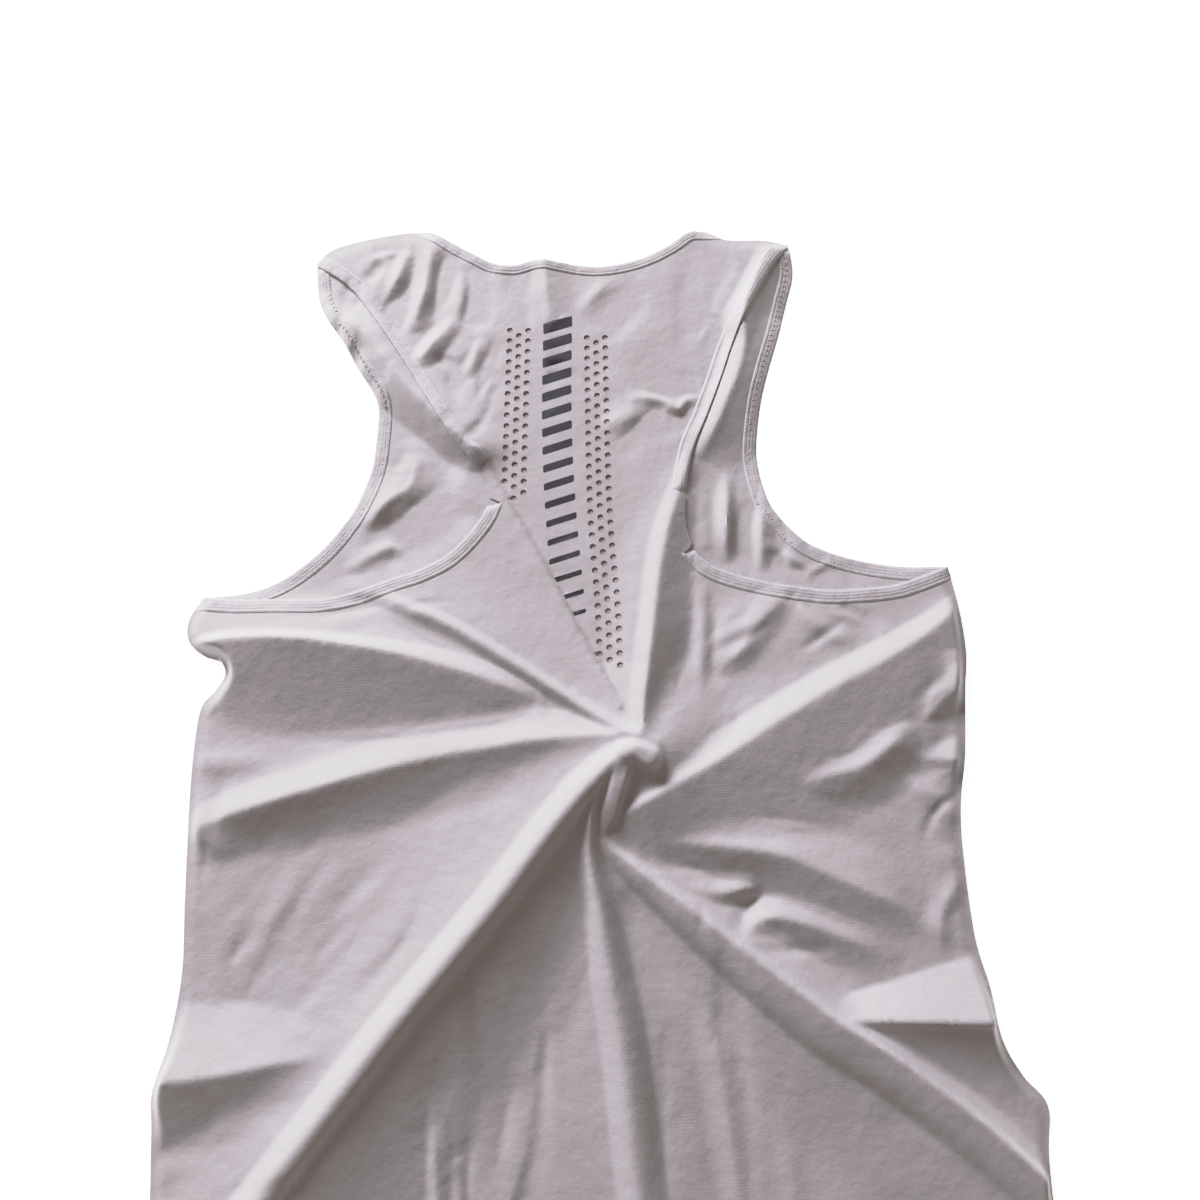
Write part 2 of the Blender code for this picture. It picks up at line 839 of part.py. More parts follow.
def band_mesh(outer, inner, underside, rise):
    """A bound edge: a folded strip between two lines, a little thicker than the panel beside it.

    underside gives the height under each plan point, and rise how far the strip stands proud.
    """
    shared = [station for station in outer.kept if station in inner.kept]
    out_line = np.vstack([outer.start, outer.line[shared], outer.end])
    in_line = np.vstack([inner.start, inner.line[shared], inner.end])
    rows = []
    for corner in BAND_SECTION:
        plan = out_line + (in_line - out_line) * corner.across
        depth = WALL + rise * seam_ease(plan)
        rows.append(np.column_stack([plan, underside(plan) + depth * corner.up]))
    points = np.stack(rows, axis=1).reshape(-1, 3)
    sides = len(BAND_SECTION)
    faces = []
    for ring in range(len(out_line) - 1):
        for side in range(sides):
            a = ring * sides + side
            b = ring * sides + (side + 1) % sides
            faces.append((a, b, b + sides, a + sides))
    faces.append(tuple(range(sides - 1, -1, -1)))
    faces.append(tuple(range(len(points) - sides, len(points))))
    return points, faces


def new_material(name, colour, roughness):
    """A plain cloth material."""
    material = bpy.data.materials.new(name)
    material.use_nodes = True
    shader = material.node_tree.nodes["Principled BSDF"]
    shader.inputs["Base Color"].default_value = colour
    shader.inputs["Roughness"].default_value = roughness
    shader.inputs["Metallic"].default_value = 0.0
    material.diffuse_color = colour
    return material


def new_object(name, points, faces, material, collection, parent):
    """A mesh object at its place, in metres, with its faces turned outwards."""
    mesh = bpy.data.meshes.new(name)
    mesh.from_pydata((points * MM).tolist(), [], faces)
    shape = bmesh.new()
    shape.from_mesh(mesh)
    bmesh.ops.recalc_face_normals(shape, faces=shape.faces)
    shape.to_mesh(mesh)
    shape.free()
    mesh.shade_smooth()
    mesh.set_sharp_from_angle(angle=math.radians(SHARP_ANGLE))
    mesh.materials.append(material)
    thing = bpy.data.objects.new(name, mesh)
    thing.parent = parent
    collection.objects.link(thing)
    return thing


def build_panel(edges, holes_of, underside, floor, crests, grid_step):
    """A panel's mesh: its wall stands on the underside and never comes below the floor.

    crests are the points that its folds need, and grid_step is the spacing of those between.
    """
    boundary = panel_boundary(edges)
    holes = holes_of(boundary)
    taken = np.vstack([boundary, *holes])
    crests = crests[inside(crests, boundary) & (distance_to_loop(boundary, crests) > CREST_SPACE)]
    crests = well_spaced(clear_of(crests, taken, CREST_SPACE), CREST_SPACE)
    taken = np.vstack([taken, crests])
    grid = grid_points(grid_step)
    grid = grid[inside(grid, boundary) & (distance_to_loop(boundary, grid) > grid_step / 3)]
    grid = clear_of(grid, taken, grid_step / 2)
    plan, triangles = triangulated(boundary, holes, np.vstack([crests, grid]))
    top = underside(plan) + WALL
    bottom = np.maximum(top - wall_depth(plan, top, triangles), floor(plan))
    return closed_mesh(plan, top, bottom, triangles)


def no_holes(boundary):
    """The front panel isn't punched."""
    return []


def table_top(points):
    """The height of the table under each point."""
    return np.zeros(len(points))


def build_front_panel():
    """The front panel, on the table."""
    crests = fold_points(FRONT_FOLDS, FRONT_ROWS)
    return build_panel(FRONT_EDGES, no_holes, front_underside, table_top, crests, FRONT_GRID)


def build_back_panel():
    """The back panel, with its folds and its punched holes."""
    crests = np.vstack([fold_points(BACK_FOLDS, BACK_ROWS), fold_points(FRONT_FOLDS, BACK_ROWS)])
    return build_panel(BACK_EDGES, punched_holes, back_underside, back_floor, crests, BACK_GRID)


def build_bindings(edges, layer, underside, rise):
    """The bound edges of one panel, by name."""
    outer = edge_cuts([edge._replace(binding=0.0) for edge in edges], 0.0)
    inner = edge_cuts(edges, 0.0)
    pieces = {}
    for edge, out_cut, in_cut in zip(edges, outer, inner):
        if edge.binding:
            place, _, side = edge.name.partition("_")
            name = "_".join(part for part in (place, "binding", side, layer) if part)
            pieces[name] = band_mesh(out_cut, in_cut, underside, rise)
    return pieces


def main():
    """Builds the singlet."""
    for thing in list(bpy.data.objects):
        bpy.data.objects.remove(thing)
    collection = bpy.data.collections.new("running_singlet")
    bpy.context.scene.collection.children.link(collection)
    parent = bpy.data.objects.new("running_singlet", None)
    collection.objects.link(parent)
    cloth = new_material("cloth", CLOTH, 0.7)
    binding = new_material("binding", BINDING, 0.75)
    new_object("front_panel", *build_front_panel(), cloth, collection, parent)
    new_object("back_panel", *build_back_panel(), cloth, collection, parent)
    layers = (
        (FRONT_EDGES, "front", front_underside, FRONT_BINDING_RISE),
        (BACK_EDGES, "back", back_underside, BINDING_RISE),
    )
    for edges, layer, underside, rise in layers:
        for name, mesh in build_bindings(edges, layer, underside, rise).items():
            new_object(name, *mesh, binding, collection, parent)


main()
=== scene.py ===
"""The finished running singlet: cloth, bindings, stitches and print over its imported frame.

The garment lies face down. Its front panel lies on the table and its back panel on that, pinched
and twisted in the middle, so that its folds run in to a small knot. The tables and the surface
functions are in millimetres, with x to the right, y towards the neck and z up. Only the calls that
make meshes, lights and the camera turn them into Blender's metres.
"""

import logging
import math
from abc import ABC, abstractmethod
from collections.abc import Callable, Iterable, Sequence
from dataclasses import dataclass, field
from enum import Enum

import bpy
import numpy as np
from mathutils import Matrix, Vector, noise
from mathutils.geometry import delaunay_2d_cdt
from mathutils.kdtree import KDTree


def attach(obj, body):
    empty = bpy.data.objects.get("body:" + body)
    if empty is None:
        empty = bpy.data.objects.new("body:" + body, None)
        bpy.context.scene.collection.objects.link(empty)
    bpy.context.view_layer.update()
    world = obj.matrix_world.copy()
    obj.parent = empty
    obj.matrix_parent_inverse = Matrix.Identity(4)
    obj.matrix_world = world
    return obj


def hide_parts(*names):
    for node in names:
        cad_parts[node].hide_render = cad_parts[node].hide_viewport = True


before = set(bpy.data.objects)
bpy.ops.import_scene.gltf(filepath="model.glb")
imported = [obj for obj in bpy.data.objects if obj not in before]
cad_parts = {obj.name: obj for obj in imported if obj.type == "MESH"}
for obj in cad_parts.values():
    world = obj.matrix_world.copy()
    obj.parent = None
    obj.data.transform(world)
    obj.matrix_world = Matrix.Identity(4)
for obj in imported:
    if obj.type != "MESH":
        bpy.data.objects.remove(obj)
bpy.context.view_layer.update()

MM = 0.001
BODY = "root"
TINY = 1e-6
FINE_STEP = 1.0

# How many steps wide the coarser grids in a nested grid are.
MIDDLE_GRID = 2
WIDEST_GRID = 4

# Short names for types. A Surface is a function that gives the height at each point of the plan,
# and a Row is a row of points in the plan.
Array = np.ndarray
Surface = Callable[[Array], Array]
Pair = tuple[float, float]
Triple = tuple[float, float, float]
Row = tuple[Pair, ...]
Material = bpy.types.Material
Socket = bpy.types.NodeSocket

log = logging.getLogger("singlet")


class Layer(Enum):
    """The two layers of the garment as it lies."""

    FRONT = "front"
    BACK = "back"


class Slot(Enum):
    """The record's material slots."""

    CLOTH = "cloth"
    BINDING = "binding"


# --------------------------------------
# The shapes that the tables are made of


@dataclass(frozen=True)
class Flank:
    """One side of a fold.

    reach is how far it runs out from the crest, along the fold's line. curve is 1 for a straight
    slope and more for a hollow one. lip_share of the height stands in a round lip of width lip,
    and a fuller lip is flatter on top and steeper at its foot.
    """

    reach: tuple[float, ...]
    curve: float = 1.6
    lip_share: float = 0.0
    lip: tuple[float, ...] = (5.0,)
    fullness: float = 2.0


@dataclass(frozen=True)
class Fold:
    """A fold of cloth: the line of its crest, its height along it, and its two sides.

    left and right are as seen along the line, and crest is how widely its top is rounded.
    """

    name: str
    line: Row
    height: tuple[float, ...]
    left: Flank
    right: Flank
    crest: float = 1.5


@dataclass(frozen=True)
class Crease:
    """A short soft ridge, or a trough where the height is negative, that fades at both ends."""

    name: str
    line: Row
    height: float
    width: float


@dataclass(frozen=True)
class Edge:
    """One edge of a panel: its points, clockwise round the panel, and the binding along it."""

    name: str
    points: Row
    binding: float = 0.0


@dataclass(frozen=True)
class HoleBand:
    """A band of punched holes: its middle line, and how many rows it has."""

    name: str
    line: Row
    rows: int


@dataclass(frozen=True)
class Cover:
    """A place where the back panel is folded over its own binding: a line, and its reach.

    The front panel is raised to the back panel within twice that reach.
    """

    name: str
    line: Row
    reach: float


@dataclass(frozen=True)
class Corner:
    """A corner of a binding's section: the share of its width, and the share of its depth."""

    across: float
    up: float


# --------------------------------------
# The garment's outline, the widths of its bindings and the wall of its solids

ARMHOLE_BINDING = 10.0
NECK_BINDING = 8.0
WALL = 1.2

SHOULDER_RIGHT = Edge("shoulder_right", ((104, 342), (120, 334), (148, 332), (166, 327)))
SHOULDER_LEFT = Edge(
    "shoulder_left",
    ((-183, 326), (-172, 338), (-150, 345), (-120, 350), (-97, 350)),
)
SIDE_RIGHT = Edge(
    "side_right",
    (
        (249, 75), (251, 60), (253, 40), (253, 14), (249, -9), (243, -50), (236, -80), (233, -110),
        (233, -160), (238, -190), (241, -219), (250, -239), (262, -256), (258, -285), (255, -350),
    ),
)
SIDE_LEFT = Edge(
    "side_left",
    (
        (-258, -350), (-259, -285), (-261, -245), (-262, -224), (-254, -197), (-249, -160),
        (-250, -117), (-251, -57), (-250, -20), (-247, 2), (-239, 12), (-233, 22), (-236, 31),
        (-248, 36), (-258, 46), (-259, 60), (-250, 76),
    ),
)
HEM = Edge("hem", ((255, -350), (85, -352), (-85, -352), (-258, -350)))

BACK_EDGES = (
    Edge(
        "neck",
        (
            (-97, 350), (-80, 338), (-66, 329), (-52, 321), (-38, 319), (-22, 322), (-4, 319),
            (26, 315), (55, 320), (76, 330), (92, 341), (104, 342),
        ),
        NECK_BINDING,
    ),
    SHOULDER_RIGHT,
    Edge(
        "armhole_right",
        (
            (166, 327), (153, 311), (141, 292), (128, 269), (117, 246), (106, 218), (95, 192),
            (84, 168), (77, 140), (74, 115), (79, 95), (90, 83), (108, 75), (128, 69), (148, 65),
            (168, 62), (188, 62), (208, 63), (225, 67), (249, 75),
        ),
        ARMHOLE_BINDING,
    ),
    SIDE_RIGHT,
    HEM,
    SIDE_LEFT,
    Edge(
        "armhole_left",
        (
            (-250, 76), (-228, 73), (-200, 72), (-172, 71), (-150, 75), (-125, 83), (-105, 89),
            (-88, 98), (-74, 111), (-62, 127), (-58, 143), (-64, 158), (-80, 176), (-97, 205),
            (-120, 247), (-146, 290), (-160, 308), (-183, 326),
        ),
        ARMHOLE_BINDING,
    ),
    SHOULDER_LEFT,
)

FRONT_EDGES = (
    Edge(
        "neck",
        (
            (-97, 350), (-91, 332), (-79, 313), (-58, 297), (-30, 287), (3, 283), (36, 287),
            (64, 297), (85, 313), (97, 329), (104, 342),
        ),
        NECK_BINDING,
    ),
    SHOULDER_RIGHT,
    Edge(
        "armhole_right",
        (
            (166, 327), (167, 303), (160, 279), (151, 251), (141, 223), (134, 200), (129, 173),
            (128, 157), (130, 140), (134, 125), (143, 111), (155, 98), (171, 89), (188, 83),
            (204, 79), (224, 76), (249, 75),
        ),
        ARMHOLE_BINDING,
    ),
    SIDE_RIGHT,
    HEM,
    SIDE_LEFT,
    Edge(
        "armhole_left",
        (
            (-250, 76), (-227, 77), (-210, 81), (-194, 89), (-175, 104), (-161, 120), (-149, 138),
            (-140, 163), (-137, 186), (-136, 209), (-140, 222), (-150, 239), (-161, 261),
            (-172, 278), (-180, 298), (-183, 326),
        ),
        ARMHOLE_BINDING,
    ),
    SHOULDER_LEFT,
)

# --------------------------------------
# The folds, each from its outer end in to the knot, or out from it

BACK_FOLDS = (
    Fold(
        "mound", ((12, -52), (24, -48), (40, -42)), (15, 17.5, 17.5),
        Flank((66, 66, 64), 1.35), Flank((62, 62, 60), 1.3), 8.0,
    ),
    Fold(
        "upper_left",
        ((-136, 72), (-112, 61), (-88, 49), (-66, 35), (-44, 20), (-20, 3), (4, -14), (33, -33)),
        (1, 5.5, 7.5, 8, 8.2, 9.2, 11.4, 16),
        Flank((24, 46, 60, 60, 30), 1.3, 0.4, (5,), 1.5),
        Flank((12, 22, 22, 13, 7), 1.2, 0.3, (5,), 1.6), 1.2,
    ),
    Fold(
        "left_roll",
        ((-253, 40), (-232, 43), (-189, 42), (-142, 34), (-99, 23), (-60, 9), (-30, -3)),
        (8, 13, 17, 16.5, 14, 9.5, 4),
        Flank((30, 36, 24, 12), 1.3, 0.55, (6, 6, 6, 9, 11, 9), 1.5), Flank((44, 60, 58, 26), 1.2),
        1.6,
    ),
    Fold(
        "left_long",
        (
            (-247, -76), (-217, -66), (-170, -54), (-132, -45), (-94, -38), (-61, -34), (-27, -30),
            (10, -30), (34, -30), (46, -36),
        ),
        (3, 9, 11, 11, 11, 11.4, 12.6, 14.2, 16.5, 16),
        Flank((32, 48, 50, 36, 14), 2.2, 0.4, (12, 18, 19, 16, 8), 1.2),
        Flank((22, 34, 42, 52, 56), 1.45), 1.6,
    ),
    Fold(
        "lower_left_roll",
        (
            (-247, -343), (-190, -279), (-122, -199), (-79, -152), (-52, -122), (-24, -88),
            (-6, -68), (8, -55), (19, -46), (28, -42),
        ),
        (15, 20, 23, 24, 24, 24, 23, 22.5, 22.5, 22),
        Flank((60, 76, 84, 64, 34), 1.6, 0.38, (11.5, 11.5, 11.5, 11.5, 11, 11, 11, 9, 9), 1.6),
        Flank((90, 92, 82, 56, 22), 1.7, 0.14, (7, 7, 7, 6, 6), 1.6), 3.4,
    ),
    Fold(
        "hook", ((24, -41.5), (32, -41.5), (40, -45)), (22.5, 23, 22.5),
        Flank((8, 9, 10), 1.0, 1.0, (10, 11, 11), 2.4),
        Flank((6, 8, 10), 1.0, 1.0, (7, 11, 12), 3.2),
    ),
    Fold(
        "inner_strip", ((24, -48), (20, -59), (17.5, -67), (13, -79), (8.5, -89)),
        (20.5, 20.5, 19, 15, 9),
        Flank((8, 8, 4), 1.0, 1.0, (7.5, 8, 8, 7, 3), 3.6),
        Flank((8, 8, 4), 1.0, 1.0, (7, 8.5, 8.5, 7, 3), 3.2),
    ),
    Fold(
        "bottom_vertical",
        (
            (7, -60), (3, -74), (1, -88), (0, -105), (4, -130), (7, -152), (10, -175), (15, -217),
            (24, -345),
        ),
        (18, 17, 16, 15, 14.5, 14, 13.5, 13, 12),
        Flank((4, 9, 30, 40, 50), 1.4, 0.6, (2.5, 6.5, 10, 13, 16), 1.8),
        Flank((4, 9, 30, 60, 90), 1.1, 0.6, (2, 6, 8, 11, 12), 1.5), 1.4,
    ),
    Fold(
        "lower_right_roll",
        (
            (8, -94), (36, -117), (63, -139), (86, -158), (113, -180), (140, -202), (172, -223),
            (199, -244), (226, -268), (258, -300),
        ),
        (10, 14, 17, 18, 19, 19, 18, 17, 15, 12),
        Flank((8, 24, 26, 16, 12, 12), 1.3, 0.35, (4,), 1.5),
        Flank((14, 50, 72, 76), 1.4, 0.24, (6, 16, 21, 21, 18), 4.2), 1.6,
    ),
    Fold(
        "right_low_ridge",
        ((38, -92), (64, -98), (92, -102), (120, -108), (147, -121), (174, -134), (201, -146)),
        (2, 8, 10, 10, 8.5, 6, 1.5),
        Flank((12, 24, 27, 22), 1.3), Flank((10, 20, 26, 20), 1.1), 2.0,
    ),
    Fold(
        "right_long",
        (
            (252, 46), (229, 29), (195, 10), (161, -6), (127, -24), (94, -43), (61, -60), (36, -72),
            (14, -82),
        ),
        (5, 8, 10, 11, 12, 13.5, 15.5, 16.5, 11),
        Flank((36, 72, 72, 56), 1.1), Flank((16, 40, 44, 30), 1.4, 0.7, (9, 14, 15, 15, 13), 1.3),
        1.3,
    ),
    Fold(
        "strap_ridge",
        ((80, 162), (70, 132), (61, 105), (54, 76), (49, 48), (44, 20), (39, -7), (37, -27)),
        (1, 5, 8, 10, 12, 14, 16, 17),
        Flank((8, 18, 24, 24, 20), 1.3),
        Flank((10, 26, 32, 32, 20), 1.3, 0.5, (5, 9, 9, 9, 7), 1.4), 1.2,
    ),
    Fold(
        "pleat", ((-66, 172), (-25, 90), (3, 30), (24, -11)), (2, 3, 5, 9),
        Flank((3, 3, 3, 5), 1.0, 1.0, (3,)), Flank((60, 50, 40, 16), 1.4), 0.6,
    ),
    Fold(
        "right_mid", ((130, -68), (152, -61), (174, -56), (194, -43), (211, -31)), (1, 6, 8, 8, 2),
        Flank((10, 22, 26, 18), 1.3, 0.55, (5, 8, 9, 6), 1.4), Flank((12, 22, 26, 14), 1.3), 1.6,
    ),
    Fold(
        "side_wedge", ((247, -4), (231, -17), (215, -29)), (5, 5, 1),
        Flank((12, 11, 6), 1.2), Flank((20, 17, 8), 1.2), 1.4,
    ),
    Fold(
        "side_shelf", ((213, -52), (229, -54), (248, -55)), (1, 4.5, 6),
        Flank((7, 13, 15), 1.1), Flank((10, 18, 20), 1.4), 1.0,
    ),
    Fold(
        "left_shoulder", ((-97, 334), (-100, 315), (-104, 295), (-109, 275)), (2, 4.6, 5, 2),
        Flank((10, 12, 11, 8), 1.05), Flank((12, 14, 10), 1.3), 1.2,
    ),
    Fold(
        "left_shoulder_outer", ((-117, 327), (-122, 310), (-129, 295)), (2, 3.8, 1),
        Flank((8, 9, 7), 1.1), Flank((7, 8, 6), 1.3), 1.2,
    ),
    Fold(
        "left_chest", ((-84, 271), (-96, 257), (-103, 247)), (1.5, 3.8, 3.4),
        Flank((7, 9, 9), 1.1), Flank((8, 9, 8), 1.3), 1.2,
    ),
    Fold(
        "lozenge", ((34, -110), (56, -121), (78, -128), (97, -126)), (1, 5, 6.6, 5),
        Flank((10, 18, 15), 1.4), Flank((6, 9, 8), 1.3), 1.8,
    ),
    Fold(
        "curl", ((85, -163), (97, -148), (113, -144), (136, -151), (160, -161), (186, -173)),
        (1, 5, 6.6, 6, 4, 0),
        Flank((6, 16, 16), 1.5), Flank((6, 16, 15), 1.2), 1.8,
    ),
    Fold(
        "right_shelf", ((128, -202), (168, -204), (208, -206), (250, -208)), (6, 11, 14, 16),
        Flank((8, 18, 30, 42), 1.05), Flank((8, 30, 46, 58), 2.0, 0.12, (3,)), 0.8,
    ),
    Fold(
        "left_shelf", ((-262, -218), (-226, -216), (-186, -211), (-140, -206)), (12, 12.5, 10, 2),
        Flank((40, 36, 16), 1.15), Flank((44, 50, 24), 1.6), 1.3,
    ),
    Fold(
        "low_left", ((-97, -192), (-96, -226), (-93, -345)), (0, 4.6, 6),
        Flank((6, 12, 14), 1.2), Flank((3, 6, 7), 1.3), 1.2,
    ),
    Fold(
        "low_left_fine", ((-82, -262), (-82, -280), (-82, -345)), (0, 3, 4),
        Flank((4, 5), 1.2), Flank((5, 7), 1.2), 1.4,
    ),
    Fold(
        "low_middle", ((62, -182), (72, -226), (80, -345)), (0, 2.5, 2),
        Flank((12, 16)), Flank((11, 16)), 2.0,
    ),
    Fold("low_inner", ((39, -187), (39, -345)), (0, 1.6), Flank((7, 9)), Flank((9, 9)), 2.0),
    Fold("low_right", ((106, -234), (111, -345)), (0, 1.8), Flank((8, 9)), Flank((9, 12)), 2.0),
    Fold(
        "neck_fold", ((-15, 319), (-14, 295), (-11, 260)), (3.2, 2.4, 0),
        Flank((22, 20, 12), 1.2), Flank((10, 9, 6)), 1.0,
    ),
    Fold(
        "under_armhole", ((138, 58), (119, 42), (103, 23), (88, 8)), (1, 4.2, 4.6, 0),
        Flank((9, 14, 14, 9), 1.3), Flank((10, 20, 20, 12), 1.2), 1.6,
    ),
    Fold(
        "side_lower", ((226, -128), (213, -148), (211, -174)), (1, 2.5, 0),
        Flank((7, 8)), Flank((9, 11)), 2.0,
    ),
)

PLEAT = next(fold for fold in BACK_FOLDS if fold.name == "pleat")

FRONT_FOLDS = (
    Fold(
        "left_strap",
        (
            (-179, 303), (-167, 283), (-148, 267), (-133, 247), (-119, 226), (-100, 204),
            (-82, 184), (-68, 172),
        ),
        (1, 6, 10, 11, 11, 10, 8, 6),
        Flank((18, 20, 24, 24), 1.3), Flank((16, 24, 24, 20, 16, 14), 1.1),
    ),
    Fold(
        "left_window", ((-109, 174), (-112, 150), (-131, 134), (-142, 118)), (1, 4, 4.6, 1),
        Flank((16, 18, 14)), Flank((14, 18, 12)),
    ),
    Fold(
        "right_strap",
        (
            (150, 322), (135, 292), (125, 268), (126, 246), (120, 225), (111, 204), (100, 181),
            (88, 160),
        ),
        (2, 6, 9, 10, 10.5, 9.5, 7.5, 1),
        Flank((24, 38, 40, 36, 28), 1.25), Flank((7, 9, 12, 15, 15, 14, 12), 1.3),
    ),
    Fold(
        "right_window", ((106, 150), (103, 122), (102, 100), (101, 84)), (0, 4, 4.4, 0),
        Flank((8, 9)), Flank((8, 10)),
    ),
    Fold(
        "right_window_side", ((127, 124), (125, 106), (124, 92), (125, 78)), (0, 4, 3, 0),
        Flank((8, 9)), Flank((5, 5)),
    ),
)

# --------------------------------------
# The small creases, the bands of holes and the folded corners

BACK_CREASES = (
    Crease("left_shoulder_dip", ((-87, 330), (-91, 304), (-98, 276)), -1.5, 5.0),
    Crease("left_shoulder_corner_dip", ((-133, 324), (-146, 310)), -2.0, 3.8),
    Crease("left_shoulder_corner_ridge", ((-118, 334), (-132, 331), (-146, 327)), 1.2, 3.2),
    Crease("left_neck_dip", ((-69, 320), (-66, 297), (-68, 270)), -1.9, 5.0),
    Crease("left_neck_ridge", ((-79, 314), (-76, 296), (-80, 276)), 1.0, 4.6),
    Crease("left_chest_ridge", ((-65, 258), (-68, 242), (-74, 230)), 2.2, 4.4),
    Crease("left_chest_dip", ((-96, 247), (-85, 240), (-79, 236)), -2.0, 4.0),
    Crease("left_chest_inner_dip", ((-60, 241), (-51, 226)), -1.3, 3.4),
    Crease("left_side_dip", ((-72, 182), (-62, 194)), -1.2, 3.2),
    Crease("right_neck_dip", ((45, 296), (32, 281), (19, 264)), -2.2, 4.2),
    Crease("right_neck_ridge", ((34, 303), (20, 290), (10, 276)), 1.5, 5.0),
    Crease("right_neck_corner_dip", ((90, 320), (106, 317), (120, 315)), -1.4, 7.0),
    Crease(
        "right_chest_ridge",
        ((40, 208), (56, 207), (66, 204), (75, 197), (81, 204), (92, 207)),
        2.6,
        3.8,
    ),
    Crease("right_chest_hollow", ((54, 214), (74, 214), (92, 216)), -3.0, 7.5),
    Crease("right_chest_dip", ((62, 199), (50, 187), (39, 174), (27, 169)), -2.6, 5.5),
    Crease("right_chest_upper_dip", ((68, 198), (76, 190), (86, 201)), -1.6, 3.4),
    Crease("right_chest_lit", ((24, 186), (36, 192), (48, 198)), 1.6, 6.0),
    Crease("right_strap_dip", ((108, 272), (102, 238)), -1.6, 4.0),
    Crease("right_shoulder_dip", ((118, 323), (120, 303)), -1.2, 3.6),
    Crease("print_crease", ((2, 234), (24, 205)), -0.9, 2.6),
    Crease("under_armhole_dip", ((91, 68), (88, 30), (84, 0)), -0.7, 3.6),
    Crease("under_armhole_side", ((83, 70), (80, 31), (76, -6)), 1.7, 4.6),
    Crease("right_upper_ridge", ((140, 56), (150, 44), (163, 32), (180, 24)), 2.0, 6.0),
    Crease("right_edge_dip", ((174, 52), (199, 31)), -1.6, 3.8),
    Crease("right_corner_dip", ((139, 64), (147, 50)), -1.0, 2.8),
    Crease("right_edge_wrinkle", ((163, 47), (191, 38), (214, 24)), 0.9, 3.0),
    Crease("side_top_ridge", ((243, 16), (243, -18)), 2.6, 6.0),
    Crease("side_middle_ridge", ((200, -64), (214, -75), (232, -92)), 2.0, 6.5),
    Crease("left_edge_ridge", ((-252, -33), (-230, -35), (-200, -33)), 1.8, 7.5),
    Crease("left_long_hook", ((-248, -66), (-240, -80), (-220, -91)), 1.3, 6.0),
    Crease("left_armhole_dip", ((-168, 68), (-126, 70)), -0.9, 3.4),
    Crease("left_low_dip", ((-187, -90), (-201, -119), (-219, -154)), -0.7, 5.6),
    Crease("left_low_ridge", ((-176, -96), (-190, -124), (-206, -158)), 0.6, 5.6),
    Crease("left_middle_dip", ((-138, -123), (-159, -144), (-173, -156)), -0.7, 5.0),
    Crease("left_middle_low_dip", ((-148, -134), (-175, -166)), -0.8, 4.0),
    Crease("left_edge_dip", ((-209, -105), (-210, -144)), -0.8, 4.6),
    Crease("lozenge_valley", ((103, -117), (94, -139), (84, -155)), -1.4, 5.2),
    Crease("lozenge_end_dip", ((66, -133), (66, -148)), -1.0, 3.6),
    Crease("under_curl_dip", ((95, -162), (145, -164)), -1.2, 3.6),
)

FRONT_CREASES = (
    Crease("left_window_ridge", ((-107, 173), (-112, 150), (-131, 134), (-143, 119)), 1.2, 4.4),
    Crease("left_window_dip", ((-145, 105), (-130, 122), (-115, 114), (-105, 102)), -1.6, 6.5),
    Crease("left_window_low_ridge", ((-157, 90), (-130, 104), (-121, 102), (-117, 89)), 2.2, 4.6),
    Crease("left_window_low_dip", ((-171, 83), (-155, 86), (-143, 82)), -1.2, 3.4),
    Crease("left_window_top_dip", ((-118, 178), (-123, 162)), -1.6, 2.8),
    Crease("left_window_mid_dip", ((-112, 139), (-108, 125)), -1.3, 3.4),
    Crease("left_strap_dip", ((-160, 300), (-150, 284), (-138, 270)), -1.4, 4.0),
    Crease("left_strap_ridge", ((-170, 312), (-158, 300), (-149, 294)), 1.6, 3.4),
    Crease("right_window_lit", ((106, 148), (103, 116), (101, 80)), 0.9, 3.6),
    Crease("right_window_dip", ((117, 128), (114, 106), (112, 80)), -1.0, 4.4),
    Crease("right_window_dark", ((130, 92), (137, 76), (156, 77)), -1.8, 4.0),
    Crease("right_window_ridge", ((128, 98), (143, 86), (158, 75)), 1.8, 3.0),
    Crease("right_window_far_dip", ((171, 79), (157, 69)), -1.4, 3.0),
    Crease("right_window_far_ridge", ((152, 71), (173, 82)), 1.5, 3.2),
    Crease("right_window_end_dip", ((179, 66), (197, 63)), -1.0, 3.0),
    Crease("right_strap_hollow", ((113, 238), (110, 224), (102, 209), (98, 202)), -1.3, 3.2),
)

HOLE_BANDS = (
    HoleBand("left", ((-35, 265), (-42, 134)), 16),
    HoleBand("right", ((20, 257), (17, 130), (19, 60), (18.5, 13)), 30),
)

COVERS = (
    Cover("left_corner", ((-60, 150), (-58.5, 145)), 15.0),
    Cover("right_corner", ((71, 122), (73, 106)), 15.0),
)

# A binding's section, from its outer lower corner over the top to its inner lower corner.
BAND_SECTION = (
    Corner(0.06, 0.0),
    Corner(0.015, 0.25),
    Corner(0.0, 0.5),
    Corner(0.015, 0.8),
    Corner(0.06, 1.0),
    Corner(0.13, 1.11),
    Corner(0.23, 1.17),
    Corner(0.36, 1.2),
    Corner(0.48, 1.18),
    Corner(0.58, 1.15),
    Corner(0.65, 1.1),
    Corner(0.69, 1.07),
    Corner(0.73, 1.08),
    Corner(0.8, 1.1),
    Corner(0.87, 1.06),
    Corner(0.93, 0.97),
    Corner(0.98, 0.84),
    Corner(1.0, 0.66),
    Corner(0.99, 0.0),
)


# --------------------------------------
# Lines and loops in the plan


